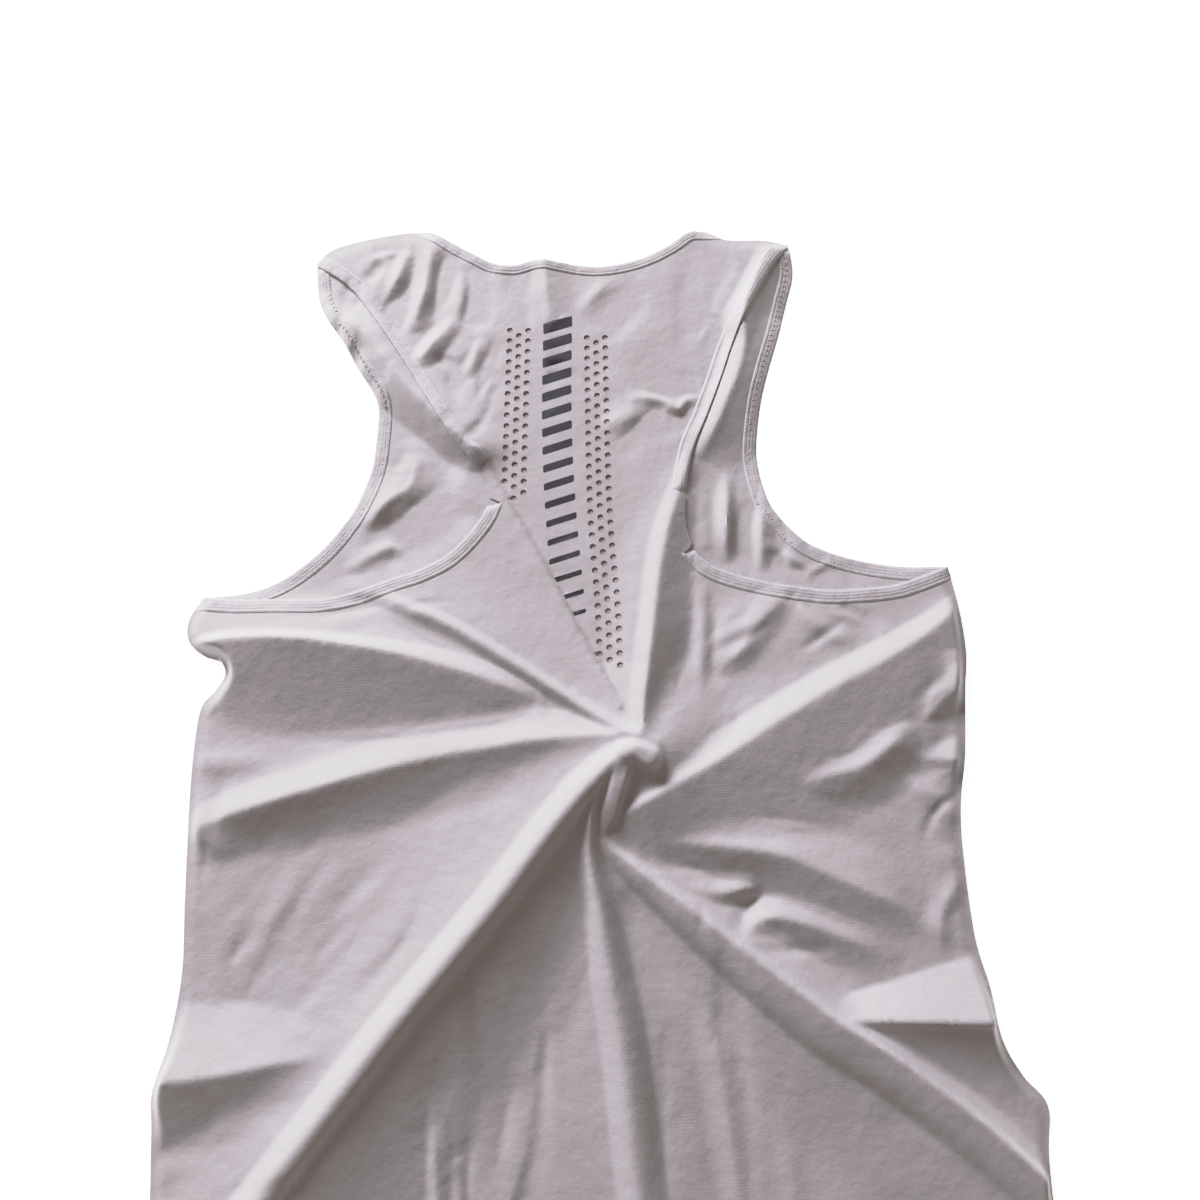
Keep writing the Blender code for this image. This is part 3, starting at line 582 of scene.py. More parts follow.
def smooth_line(points: Iterable, step: float) -> tuple[Array, Array]:
    """A Catmull-Rom curve through the points, read about every step.

    Args:
        points: The points that the curve passes through.
        step: The spacing of the points read.

    Returns:
        The points read, and how far along each one lies, from 0 to 1.
    """
    knots = np.array(points, float)
    if len(knots) == 2:
        knots = np.array([knots[0], knots.mean(axis=0), knots[1]])
    ends = np.vstack([2 * knots[0] - knots[1], knots, 2 * knots[-1] - knots[-2]])
    spans = len(knots) - 1
    line, share = [], []
    for span in range(spans):
        before, start, end, after = ends[span : span + 4]
        count = max(1, math.ceil(np.linalg.norm(end - start) / step))
        t = (np.arange(count) / count)[:, None]
        bend = (2 * start + (end - before) * t) + (2 * before - 5 * start + 4 * end - after) * t**2
        line.append((bend + (3 * start - 3 * end + after - before) * t**3) / 2)
        share.append((span + t[:, 0]) / spans)
    line.append(knots[-1:])
    share.append(np.ones(1))
    return np.vstack(line), np.concatenate(share)


def nearest_on(line: Array, share: Array, points: Array) -> tuple[Array, Array, Array]:
    """How far each point is from a line, and where on it.

    Args:
        line: The line's points.
        share: How far along the line each of them lies.
        points: The points to measure.

    Returns:
        For each point its distance, the nearest share, and its side: 1 on the left and -1 on the
        right, and between them round an end of the line.
    """
    best = np.full(len(points), np.inf)
    side = np.zeros(len(points))
    where = np.zeros(len(points))
    for start, end, first, last in zip(line[:-1], line[1:], share[:-1], share[1:]):
        along = end - start
        offset = points - start
        t = np.clip(offset @ along / (along @ along), 0, 1)
        square = ((offset - t[:, None] * along) ** 2).sum(axis=1)
        closer = square < best
        best[closer] = square[closer]
        turn = along[0] * offset[:, 1] - along[1] * offset[:, 0]
        side[closer] = turn[closer] / np.linalg.norm(along)
        where[closer] = (first + (last - first) * t)[closer]
    distance = np.sqrt(best)
    return distance, where, np.clip(side / np.maximum(distance, TINY), -1, 1)


def distance_from(row: Iterable, step: float, points: Array) -> Array:
    """How far each point is from the smooth line through a row of points."""
    return nearest_on(*smooth_line(row, step), points)[0]


def eased(value: Array) -> Array:
    """0 to 1 with no corner at either end."""
    value = np.clip(value, 0, 1)
    return value * value * (3 - 2 * value)


def read_along(values: Sequence[float], share: Array) -> Array:
    """Evenly spaced values, read at a share of the way on a smooth curve through them.

    Args:
        values: The values.
        share: How far along them to read, from 0 to 1.

    Returns:
        The value at each share.
    """
    knots = np.array(values, float)
    if len(knots) == 1:
        return np.full(np.shape(share), knots[0])
    at = np.clip(share, 0, 1) * (len(knots) - 1)
    first = np.minimum(at.astype(int), len(knots) - 2)
    t = at - first
    slope = np.gradient(knots)
    rise = knots[first + 1] - knots[first]
    bend = slope[first] * (1 - t) - slope[first + 1] * t + rise * (2 * t - 1)
    return knots[first] + rise * t + t * (1 - t) * bend


def unit_normals(line: Array) -> Array:
    """At each point of a line, the unit vector to its right."""
    along = np.gradient(line, axis=0)
    along /= np.linalg.norm(along, axis=1)[:, None]
    return np.column_stack([along[:, 1], -along[:, 0]])


def length_along(line: Array) -> Array:
    """How far along a line each of its points lies."""
    return np.concatenate([[0], np.cumsum(np.linalg.norm(np.diff(line, axis=0), axis=1))])


def lengthened(line: Array, length: float = 25.0) -> Array:
    """The line with a straight run added at each end."""
    first = line[0] - line[1]
    last = line[-1] - line[-2]
    start = line[0] + first / np.linalg.norm(first) * length
    end = line[-1] + last / np.linalg.norm(last) * length
    return np.vstack([start, line, end])


def crossing(first: Array, second: Array) -> tuple[Array, int, int]:
    """Where the end of one line first meets the start of another.

    Args:
        first: The line that ends there.
        second: The line that starts there.

    Returns:
        The point, and the index of the segment on each line.
    """
    ahead = np.diff(second, axis=0)
    for i in range(len(first) - 2, -1, -1):
        along = first[i + 1] - first[i]
        turn = along[0] * ahead[:, 1] - along[1] * ahead[:, 0]
        turn[np.abs(turn) < TINY] = TINY
        gap = second[:-1] - first[i]
        t = (gap[:, 0] * ahead[:, 1] - gap[:, 1] * ahead[:, 0]) / turn
        u = (gap[:, 0] * along[1] - gap[:, 1] * along[0]) / turn
        met = np.flatnonzero((t >= 0) & (t <= 1) & (u >= 0) & (u <= 1))
        if len(met):
            return first[i] + t[met[0]] * along, i, int(met[0])
    raise ValueError("two edges that follow each other don't meet")


def inside(points: Array, loop: Array) -> Array:
    """Which points lie inside a closed loop."""
    result = np.zeros(len(points), bool)
    for (x1, y1), (x2, y2) in zip(loop, np.roll(loop, -1, axis=0)):
        if y1 == y2:
            continue
        level = (y1 > points[:, 1]) != (y2 > points[:, 1])
        result ^= level & (points[:, 0] < (x2 - x1) * (points[:, 1] - y1) / (y2 - y1) + x1)
    return result


def cut_off(loop: Array, point: Array, normal: Array) -> Array:
    """What is left of a convex loop that is cut along a straight line.

    Args:
        loop: The loop's points.
        point: A point of the straight line.
        normal: The way across it in which the loop is cut away.

    Returns:
        The points of what is left.
    """
    ahead = (loop - point) @ normal
    kept = []
    for here, after, this, following in zip(loop, np.roll(loop, -1, 0), ahead, np.roll(ahead, -1)):
        if this <= 0:
            kept.append(here)
        if (this <= 0) != (following <= 0):
            kept.append(here + (after - here) * this / (this - following))
    return np.array(kept)


def covered(points: Array, more: float = 0.0, ease: float = 2.4) -> Array:
    """How far the back panel is folded over its binding at each point, from 0 to 1.

    Args:
        points: The points in the plan.
        more: How much further than the tables' reach it runs.
        ease: The width over which it starts.

    Returns:
        The share for each point.
    """
    share = np.zeros(len(points))
    for cover in COVERS:
        distance = distance_from(cover.line, FINE_STEP, points)
        share = np.maximum(share, eased((cover.reach + more - distance) / ease))
    return share


def tree_of(points: Array) -> KDTree:
    """A search tree over points in the plan."""
    tree = KDTree(len(points))
    for index, (x, y) in enumerate(points):
        tree.insert((x, y, 0), index)
    tree.balance()
    return tree


def clear_of(points: Array, others: Array, clearance: float) -> Array:
    """The points that keep the clearance to all the others."""
    tree = tree_of(others)
    far = [tree.find((x, y, 0))[2] > clearance for x, y in points]
    return points[np.array(far, bool)]


def well_spaced(points: Array, clearance: float) -> Array:
    """The points in order, leaving out each one too near to one that is already in.

    Args:
        points: The points to choose from.
        clearance: The least distance between two that are kept.

    Returns:
        The points that are kept.
    """
    cells: dict[tuple[int, int], list[int]] = {}
    kept = []
    for index, (x, y) in enumerate(points):
        column, row = int(x // clearance), int(y // clearance)
        near = (
            other
            for i in (column - 1, column, column + 1)
            for j in (row - 1, row, row + 1)
            for other in cells.get((i, j), ())
        )
        if all(math.dist(points[other], (x, y)) > clearance for other in near):
            cells.setdefault((column, row), []).append(index)
            kept.append(index)
    return points[kept]


def nested_grid(low: Array, high: Array, step: float) -> tuple[Array, Array]:
    """An even triangular grid of points over a box in the plan, with coarser grids in it.

    Args:
        low: The low corner of the box.
        high: Its high corner.
        step: The spacing of the finest grid.

    Returns:
        The points, and for each of them how many steps wide the widest grid is that it is in.
    """
    rows = np.arange(low[1], high[1], step * math.sqrt(3) / 2)
    columns = np.arange(low[0], high[0], step)
    column, row = np.meshgrid(np.arange(len(columns)), np.arange(len(rows)))
    x = columns[column] + (row % 2) * step / 2
    pair = row // 2
    middle = (row % 2 == 0) & ((column + pair) % 2 == 0)
    widest = middle & (pair % 2 == 0) & (((column - pair % 2) // 2 + pair // 2) % 2 == 0)
    spacing = np.where(widest, WIDEST_GRID, np.where(middle, MIDDLE_GRID, 1))
    return np.column_stack([x.ravel(), rows[row].ravel()]), spacing.ravel()


# --------------------------------------
# The outline of a panel


@dataclass(frozen=True)
class EdgeCut:
    """An edge's line, cut by its neighbours: its two end points and the stations kept between."""

    line: Array
    start: Array
    end: Array
    kept: range


@dataclass(frozen=True)
class Outline:
    """The edges of a panel, clockwise, and the lines that run beside them.

    A station nearer to an edge's end than the step divided by crowded is left out. Where the cloth
    folds over its bindings, overhang is how far it reaches past them.
    """

    edges: tuple[Edge, ...]
    step: float = 2.2
    folds_over: bool = False
    overhang: float = 0.5
    crowded: float = 3.0

    def cuts(self, widths: Callable[[Edge], float]) -> list[EdgeCut]:
        """Each edge's line, moved in and cut by its neighbours.

        Args:
            widths: How far each edge is moved in.

        Returns:
            One cut for each edge. The same station of two cuts of one edge lies side by side.
        """
        lines = []
        for edge in self.edges:
            line = lengthened(smooth_line(edge.points, self.step)[0])
            lines.append(line + unit_normals(line) * widths(edge))
        cuts = []
        for before, line, after in zip([lines[-1], *lines[:-1]], lines, [*lines[1:], lines[0]]):
            start, _, first = crossing(before, line)
            end, last, _ = crossing(line, after)
            near = self.step / self.crowded
            first += 2 if np.linalg.norm(line[first + 1] - start) < near else 1
            last -= 1 if np.linalg.norm(line[last] - end) < near else 0
            cuts.append(EdgeCut(line, start, end, range(first, last + 1)))
        return cuts

    def cloth_loop(self, tuck: float) -> Array:
        """The panel's own cloth as a closed loop, tucked under its bindings or folded over them.

        Args:
            tuck: How far the cloth goes in under a binding.

        Returns:
            The loop's points.
        """
        cuts = self.cuts(lambda edge: edge.binding - tuck if edge.binding else 0.0)
        loop = np.vstack([np.vstack([cut.start, cut.line[cut.kept]]) for cut in cuts])
        if not self.folds_over:
            return loop
        cuts = self.cuts(lambda edge: -self.overhang)
        outer = np.vstack([cut.line for cut in cuts])
        share = covered(loop)
        for index in np.flatnonzero(share):
            near = outer[np.argmin(np.linalg.norm(outer - loop[index], axis=1))]
            loop[index] += (near - loop[index]) * share[index]
        return loop

    def beside(self, name: str, distance: float) -> Array:
        """A line beside one edge, from the edge before it to the edge after it."""
        cuts = self.cuts(lambda edge: distance if edge.name == name else 0.0)
        cut = next(cut for cut, edge in zip(cuts, self.edges) if edge.name == name)
        return np.vstack([cut.start, cut.line[cut.kept], cut.end])


# --------------------------------------
# The heights of the two layers


@dataclass(frozen=True)
class Relief:
    """Folds and creases that stand on one another.

    A line is cut into steps of line_step, or into line_parts if it is short. fillet is the width
    of the valley between two folds, and lip_curve shapes their lips. A crease fades towards its
    ends by the power crease_fade, and is felt within crease_reach times its width.
    """

    folds: tuple[Fold, ...]
    creases: tuple[Crease, ...]
    line_step: float = 3.0
    line_parts: float = 24.0
    fillet: float = 6.0
    lip_curve: float = 1.25
    crease_fade: float = 0.7
    crease_reach: float = 3.0
    margin: float = 1.0

    def flank_height(self, flank: Flank, distance: Array, share: Array) -> Array:
        """What is left of a fold's height at a distance from its crest, from 1 to 0."""
        reach = read_along(flank.reach, share)
        slope = (1 - np.clip(distance / reach, 0, 1)) ** flank.curve
        lip = 1 - np.clip(distance / read_along(flank.lip, share), 0, 1) ** flank.fullness
        return (1 - flank.lip_share) * slope + flank.lip_share * lip**self.lip_curve

    def line_of(self, points: Row) -> tuple[Array, Array]:
        """The smooth line through a row of the tables, cut finely enough for its length."""
        length = length_along(np.array(points, float))[-1]
        return smooth_line(points, min(self.line_step, length / self.line_parts))

    def near(self, line: Array, points: Array, reach: float) -> Array:
        """Which points lie in the box round a line."""
        above = points > line.min(axis=0) - reach
        below = points < line.max(axis=0) + reach
        return (above & below).all(axis=1)

    def fold_height(self, fold: Fold, points: Array) -> Array:
        """The height that one fold gives each point.

        Args:
            fold: The fold.
            points: The points in the plan.

        Returns:
            The heights.
        """
        line, share = self.line_of(fold.line)
        height = np.zeros(len(points))
        reach = max(fold.left.reach + fold.right.reach) + self.margin
        near = self.near(line, points, reach)
        if near.any():
            distance, where, side = nearest_on(line, share, points[near])
            distance = np.sqrt(distance**2 + fold.crest**2) - fold.crest
            left = self.flank_height(fold.left, distance, where)
            right = self.flank_height(fold.right, distance, where)
            both = right + (left - right) * eased((1 + side) / 2)
            height[near] = read_along(fold.height, where) * both
        return height

    def crease_height(self, crease: Crease, points: Array) -> Array:
        """The height that one crease adds at each point.

        Args:
            crease: The crease.
            points: The points in the plan.

        Returns:
            The heights.
        """
        line, share = self.line_of(crease.line)
        height = np.zeros(len(points))
        near = self.near(line, points, self.crease_reach * crease.width)
        if near.any():
            distance, where, _ = nearest_on(line, share, points[near])
            along = np.sin(math.pi * where) ** self.crease_fade
            height[near] = crease.height * along * np.exp(-((distance / crease.width) ** 2))
        return height

    def merged(self, first: Array, second: Array) -> Array:
        """The higher of two heights, with the valley between them filled by a small fillet."""
        width = np.maximum(np.minimum(self.fillet, 2 * np.minimum(first, second)), TINY)
        near = np.maximum(width - np.abs(first - second), 0) / width
        return np.maximum(first, second) + near * near * width / 4

    def folds_height(self, points: Array) -> Array:
        """The height of all the folds together."""
        height = np.zeros(len(points))
        for fold in self.folds:
            height = self.merged(height, self.fold_height(fold, points))
        return height

    def creases_height(self, points: Array) -> Array:
        """The height of all the creases together."""
        return sum((self.crease_height(crease, points) for crease in self.creases), 0.0)

    def crest_points(self, step: float, sharp: float = 2.5) -> Array:
        """Points along the crest of each fold that is sharp."""
        crests = [fold.line for fold in self.folds if fold.crest < sharp]
        return np.vstack([smooth_line(line, step)[0] for line in crests])


@dataclass(frozen=True)
class Unevenness:
    """The slight unevenness of limp cloth: fine pulls that run in to the knot, and soft waves.

    Each octave of the waves is wave_finer times finer than the one before, and wave_smooth says
    how much lower it is.
    """

    knot: Pair = (28.0, -38.0)
    pull: float = 0.42
    pull_turns: float = 7.0
    pull_reach: float = 70.0
    wave: float = 0.3
    wave_length: float = 26.0
    octaves: int = 3
    wave_smooth: float = 0.9
    wave_finer: float = 2.1
    wave_seed: float = 5.0

    def height(self, points: Array) -> Array:
        """The height that the unevenness adds at each point.

        Args:
            points: The points in the plan.

        Returns:
            The heights.
        """
        offset = points - np.array(self.knot)
        angle = np.arctan2(offset[:, 1], offset[:, 0])
        distance = np.hypot(offset[:, 0], offset[:, 1])
        round_it = np.column_stack([np.cos(angle), np.sin(angle)]) * self.pull_turns
        out = np.log1p(distance / self.pull_reach)
        pulls = [noise.noise((x, y, z)) for (x, y), z in zip(round_it, out)]
        scaled = points / self.wave_length
        finer = (self.wave_smooth, self.wave_finer, self.octaves)
        waves = [noise.fractal((x, y, self.wave_seed), *finer) for x, y in scaled]
        near = eased(distance / self.pull_reach)
        return self.pull * np.array(pulls) * near + self.wave * np.array(waves) * near


@dataclass(frozen=True)
class Rumple:
    """A patch of cloth that is rumpled in one direction.

    angle is the direction of its small ridges, pitch the space between them and length how long
    they are. sharpness narrows their crests, and mean_ridge keeps the patch level. They wander
    by warp, and wander is how finely, along them and across. The patch fades out over fade,
    within reach, both in radii.
    """

    name: str
    centre: Pair
    radii: Pair
    angle: float
    pitch: float
    length: float
    height: float
    sharpness: float = 0.6
    mean_ridge: float = 0.2
    warp: float = 0.7
    wander: Pair = (0.8, 0.45)
    reach: float = 1.25
    fade: float = 0.7
    seed_scale: float = 0.37
    warp_seed: float = 9.0

    def add_to(self, height: Array, points: Array) -> None:
        """Adds the patch's height to that of the points that it covers.

        Args:
            height: The heights of the points, which it changes.
            points: The points in the plan.
        """
        offset = (points - np.array(self.centre)) / np.array(self.radii)
        from_centre = np.hypot(offset[:, 0], offset[:, 1])
        near = from_centre < self.reach
        if not near.any():
            return
        window = eased((self.reach - from_centre[near]) / self.fade)
        turn = math.radians(self.angle)
        ahead = np.array((math.cos(turn), math.sin(turn)))
        along = points[near] @ ahead / self.length
        across = points[near] @ np.array((-ahead[1], ahead[0])) / self.pitch
        seed = self.centre[0] * self.seed_scale
        bent = [
            noise.noise((a * self.wander[0], b * self.wander[1], seed + self.warp_seed))
            for a, b in zip(along, across)
        ]
        across = across + self.warp * np.array(bent)
        ridged = np.array([noise.noise((a, b, seed)) for a, b in zip(along, across)])
        folded = ridged + self.sharpness * (self.mean_ridge - np.abs(ridged))
        height[near] += self.height * window * folded


BACK_RUMPLES = (
    Rumple("left_shoulder", (-120, 302), (46, 44), 72, 14, 40, 3.0),
    Rumple("left_chest", (-78, 230), (30, 50), 66, 13, 34, 2.6),
    Rumple("middle_top", (-45, 285), (40, 34), 84, 14, 46, 2.0),
    Rumple("right_top", (62, 282), (48, 40), 55, 22, 50, 1.8),
    Rumple("right_chest", (56, 206), (40, 34), 40, 18, 30, 1.6),
    Rumple("right_strap", (112, 262), (26, 56), 62, 14, 36, 1.6),
    Rumple("right_under_armhole", (128, 38), (52, 26), 38, 14, 36, 2.0),
    Rumple("left_under_armhole", (-150, 62), (70, 14), 8, 10, 46, 1.0),
    Rumple("lower_left", (-168, -136), (66, 58), 50, 13, 52, 1.6),
    Rumple("left_edge", (-225, -110), (24, 70), 84, 12, 40, 1.2),
    Rumple("low_left_corner", (-215, -262), (50, 60), 26, 15, 50, 1.1),
    Rumple("low_middle_left", (-56, -262), (48, 90), 86, 14, 70, 2.2),
    Rumple("low_middle_right", (64, -248), (58, 104), 88, 14, 100, 1.5),
    Rumple("right_middle", (196, -120), (46, 62), -28, 15, 46, 1.6),
    Rumple("right_edge", (232, -70), (24, 80), 40, 12, 26, 1.6),
    Rumple("low_right", (196, -268), (60, 50), -36, 16, 60, 1.3),
)

FRONT_RUMPLES = (
    Rumple("left_window", (-126, 128), (40, 46), 58, 14, 34, 2.0),
    Rumple("left_strap", (-150, 262), (34, 70), 62, 13, 40, 2.2),
    Rumple("right_window", (134, 108), (36, 38), 84, 12, 36, 3.4),
    Rumple("right_strap", (140, 250), (30, 70), 74, 14, 46, 1.6),
)


@dataclass(frozen=True)
class Drape:
    """How the two layers lie: the height of each one's underside over the table.

    At a seam the back panel lies seam_gap above the front one. Further in than ease it lies
    higher by lift, and clears the front panel's folds by a share of their height. Under the
    holes and the folded corners the front panel rises to touch_gap below the back one's cloth,
    which is back_cloth thick.
    """

    wall: float = WALL
    seam_gap: float = 0.3
    lift: float = 0.8
    clearance: float = 0.2
    ease: float = 9.0
    ground: float = 0.5
    back_cloth: float = 0.5
    touch_gap: float = 0.35
    touch_reach: float = 30.0
    touch_ease: float = 16.0
    tape_reach: float = 15.0
    under_tape: float = 1.5
    back: Relief = Relief(BACK_FOLDS, BACK_CREASES)
    front: Relief = Relief(FRONT_FOLDS, FRONT_CREASES)
    uneven: Unevenness = Unevenness()
    back_rumples: tuple[Rumple, ...] = BACK_RUMPLES
    front_rumples: tuple[Rumple, ...] = FRONT_RUMPLES

    def rumpled(self, rumples: tuple[Rumple, ...], points: Array) -> Array:
        """The height that the rumpled patches add at each point."""
        height = np.zeros(len(points))
        for rumple in rumples:
            rumple.add_to(height, points)
        return height

    def seam_ease(self, points: Array) -> Array:
        """0 on the side and shoulder seams, where the panels are sewn together, and 1 inside."""
        ease = np.ones(len(points))
        for seam in (SHOULDER_LEFT, SHOULDER_RIGHT, SIDE_LEFT, SIDE_RIGHT):
            distance = distance_from(seam.points, self.back.line_step, points)
            ease = np.minimum(ease, eased(distance / self.ease))
        return ease

    def front_underside(self, points: Array) -> Array:
        """The front panel's underside: flat on the table, but for the folds at the armholes."""
        height = self.front.folds_height(points) + self.front.creases_height(points)
        height = height + self.rumpled(self.front_rumples, points)
        return np.maximum(height, 0) * self.seam_ease(points)

    def back_underside(self, points: Array) -> Array:
        """The back panel's underside."""
        ease = self.seam_ease(points)
        floor = np.maximum(self.front.folds_height(points), 0) * ease
        height = self.back.folds_height(points) + self.back.creases_height(points)
        height = height + self.uneven.height(points) + self.rumpled(self.back_rumples, points)
        height = np.maximum(height + self.ground, 0)
        lift = self.wall + self.seam_gap + self.lift * ease
        return lift + floor * (1 + self.clearance) + height * ease

    def back_top(self, points: Array) -> Array:
        """The back panel's upper face."""
        return self.back_underside(points) + self.wall

    def raise_front(
        self,
        height: Array,
        points: Array,
        line: Row,
        reach: float,
        below: float,
    ) -> None:
        """Raises the front panel's underside towards the back panel, all along a line.

        Args:
            height: The heights of the underside, which it changes.
            points: Where they are in the plan.
            line: The line that it is raised along.
            reach: How far from the line it is still raised a little.
            below: How far below the back panel's upper face the front panel's comes.
        """
        distance = distance_from(line, self.back.line_step, points)
        near = distance < reach
        if near.any():
            most = self.back_top(points[near]) - below - self.wall
            raised = eased((reach - distance[near]) / min(self.touch_ease, reach))
            height[near] += np.maximum(most - height[near], 0) * raised

    def front_raised(self, points: Array) -> Array:
        """The front panel's underside, raised under the holes, the folded corners and the tapes.

        Args:
            points: The points in the plan.

        Returns:
            The heights.
        """
        height = self.front_underside(points)
        touching = self.back_cloth + self.touch_gap
        for band in HOLE_BANDS:
            self.raise_front(height, points, band.line, self.touch_reach, touching)
        for cover in COVERS:
            self.raise_front(height, points, cover.line, 2 * cover.reach, touching)
        for edge in BACK_EDGES:
            if edge.binding == ARMHOLE_BINDING:
                self.raise_front(height, points, edge.points, self.tape_reach, self.under_tape)
        return height


@dataclass(frozen=True)
class BendMap:
    """How sharply a surface bends, measured on an even raster, as slope for each millimetre."""

    low: Array
    step: float
    bend: Array

    @classmethod
    def of(cls, height: Surface, low: Array, high: Array, step: float = 2.4) -> "BendMap":
        """Measures a surface.

        Args:
            height: The function that gives the surface's height.
            low: The low corner of the box to measure.
            high: Its high corner.
            step: The raster's spacing.

        Returns:
            The map, in which each place also stands for its neighbours.
        """
        margin = 2 * step
        low = low - margin
        x, y = (np.arange(low[axis], high[axis] + margin, step) for axis in range(2))
        plan = np.stack(np.meshgrid(x, y), axis=-1)
        z = height(plan.reshape(-1, 2)).reshape(plan.shape[:2])
        middle = z[1:-1, 1:-1]
        bend = np.zeros_like(z)
        pairs = ((0, 1), (1, 0), (1, 1), (1, -1))
        for down, right in pairs:
            ahead = np.roll(z, (-down, -right), (0, 1))[1:-1, 1:-1]
            behind = np.roll(z, (down, right), (0, 1))[1:-1, 1:-1]
            apart = step * step * (down * down + right * right)
            turned = np.abs(ahead + behind - 2 * middle) / apart
            bend[1:-1, 1:-1] = np.maximum(bend[1:-1, 1:-1], turned)
        for down, right in pairs:
            for way in (-1, 1):
                bend = np.maximum(bend, np.roll(bend, (way * down, way * right), (0, 1)))
        return cls(low, step, bend)

    def at(self, points: Array) -> Array:
        """The bend at each point."""
        column, row = np.rint((points - self.low) / self.step).astype(int).T
        row = np.clip(row, 0, self.bend.shape[0] - 1)
        column = np.clip(column, 0, self.bend.shape[1] - 1)
        return self.bend[row, column]


# --------------------------------------
# Making meshes


def in_scene(name: str, data: bpy.types.ID) -> bpy.types.Object:
    """Puts a new object in the scene."""
    thing = bpy.data.objects.new(name, data)
    bpy.context.scene.collection.objects.link(thing)
    return thing


def new_piece(
    name: str,
    points: Array,
    faces: Sequence,
    materials: Sequence[Material],
) -> bpy.types.Object:
    """A mesh object with its place in its mesh.

    Args:
        name: The piece's name.
        points: Its points, in millimetres.
        faces: The corners of each face.
        materials: Its materials, in the order of their slots.

    Returns:
        The object, linked to the scene.
    """
    mesh = bpy.data.meshes.new(name)
    mesh.from_pydata((np.asarray(points) * MM).tolist(), [], faces)
    mesh.shade_smooth()
    for material in materials:
        mesh.materials.append(material)
    return in_scene(name, mesh)


def stand_for(piece: bpy.types.Object, nodes: Sequence[str]) -> None:
    """Ties a finished piece to the frame.

    Args:
        piece: The finished piece.
        nodes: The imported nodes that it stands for.
    """
    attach(piece, BODY)
    if nodes:
        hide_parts(*nodes)
    log.info("%s: %d triangles", piece.name, sum(len(f.vertices) - 2 for f in piece.data.polygons))


# --------------------------------------
# Finishes

# The width of one band of a wave texture whose scale is 1.
WAVE_PITCH = math.pi / 10
TAPE_MAP = "tape"
# The colour sockets of a Mix node, which share their names with its other sockets.
MIX_FACTOR, MIX_FIRST, MIX_SECOND, MIX_RESULT = 0, 6, 7, 2


@dataclass
class NodeSheet:
    """A node tree that is being written, one node after the other, in rows of cells."""

    tree: bpy.types.NodeTree
    columns: int = 12
    cell: tuple[int, int] = (190, 260)
    count: int = 0

    def add(self, kind: str, inputs: dict | None = None, **settings: object) -> bpy.types.Node:
        """Adds a node.

        Args:
            kind: The node's type.
            inputs: Its sockets by name or index: a value, or the socket that feeds it.
            settings: Its other settings.

        Returns:
            The new node.
        """
        node = self.tree.nodes.new(kind)
        self.count += 1
        row, column = divmod(self.count, self.columns)
        node.location = (column * self.cell[0], -row * self.cell[1])
        for key, value in settings.items():
            setattr(node, key, value)
        for key, value in (inputs or {}).items():
            if isinstance(value, Socket):
                self.tree.links.new(value, node.inputs[key])
            else:
                node.inputs[key].default_value = value
        return node

    def maths(self, operation: str, *values: object) -> Socket:
        """A Math node's result."""
        inputs = dict(enumerate(values))
        return self.add("ShaderNodeMath", inputs, operation=operation).outputs[0]

    def grain(self, place: Socket, scale: float, detail: float, roughness: float = 0.5) -> Socket:
        """A noise texture's value."""
        inputs = {"Vector": place, "Scale": scale, "Detail": detail, "Roughness": roughness}
        return self.add("ShaderNodeTexNoise", inputs).outputs["Fac"]

    def bands(self, place: Socket, pitch: float, axis: str, more: dict[str, float]) -> Socket:
        """A wave texture's straight bands, a pitch wide, that follow one another along an axis."""
        inputs = {"Vector": place, "Scale": WAVE_PITCH / pitch, **more}
        wave = self.add("ShaderNodeTexWave", inputs, wave_type="BANDS", bands_direction=axis)
        return wave.outputs["Fac"]

    def within(self, value: Socket, limits: Pair, most: float = 1.0) -> Socket:
        """A value that is mapped from two limits to 0 and the most."""
        inputs = {"Value": value, "From Min": limits[0], "From Max": limits[1], "To Max": most}
        return self.add("ShaderNodeMapRange", inputs).outputs["Result"]

    def bumped(self, height: Socket, strength: float = 1.0, distance: float = 1.0) -> Socket:
        """The normal of a surface that is raised by a height."""
        inputs = {"Height": height, "Strength": strength, "Distance": distance}
        return self.add("ShaderNodeBump", inputs).outputs["Normal"]


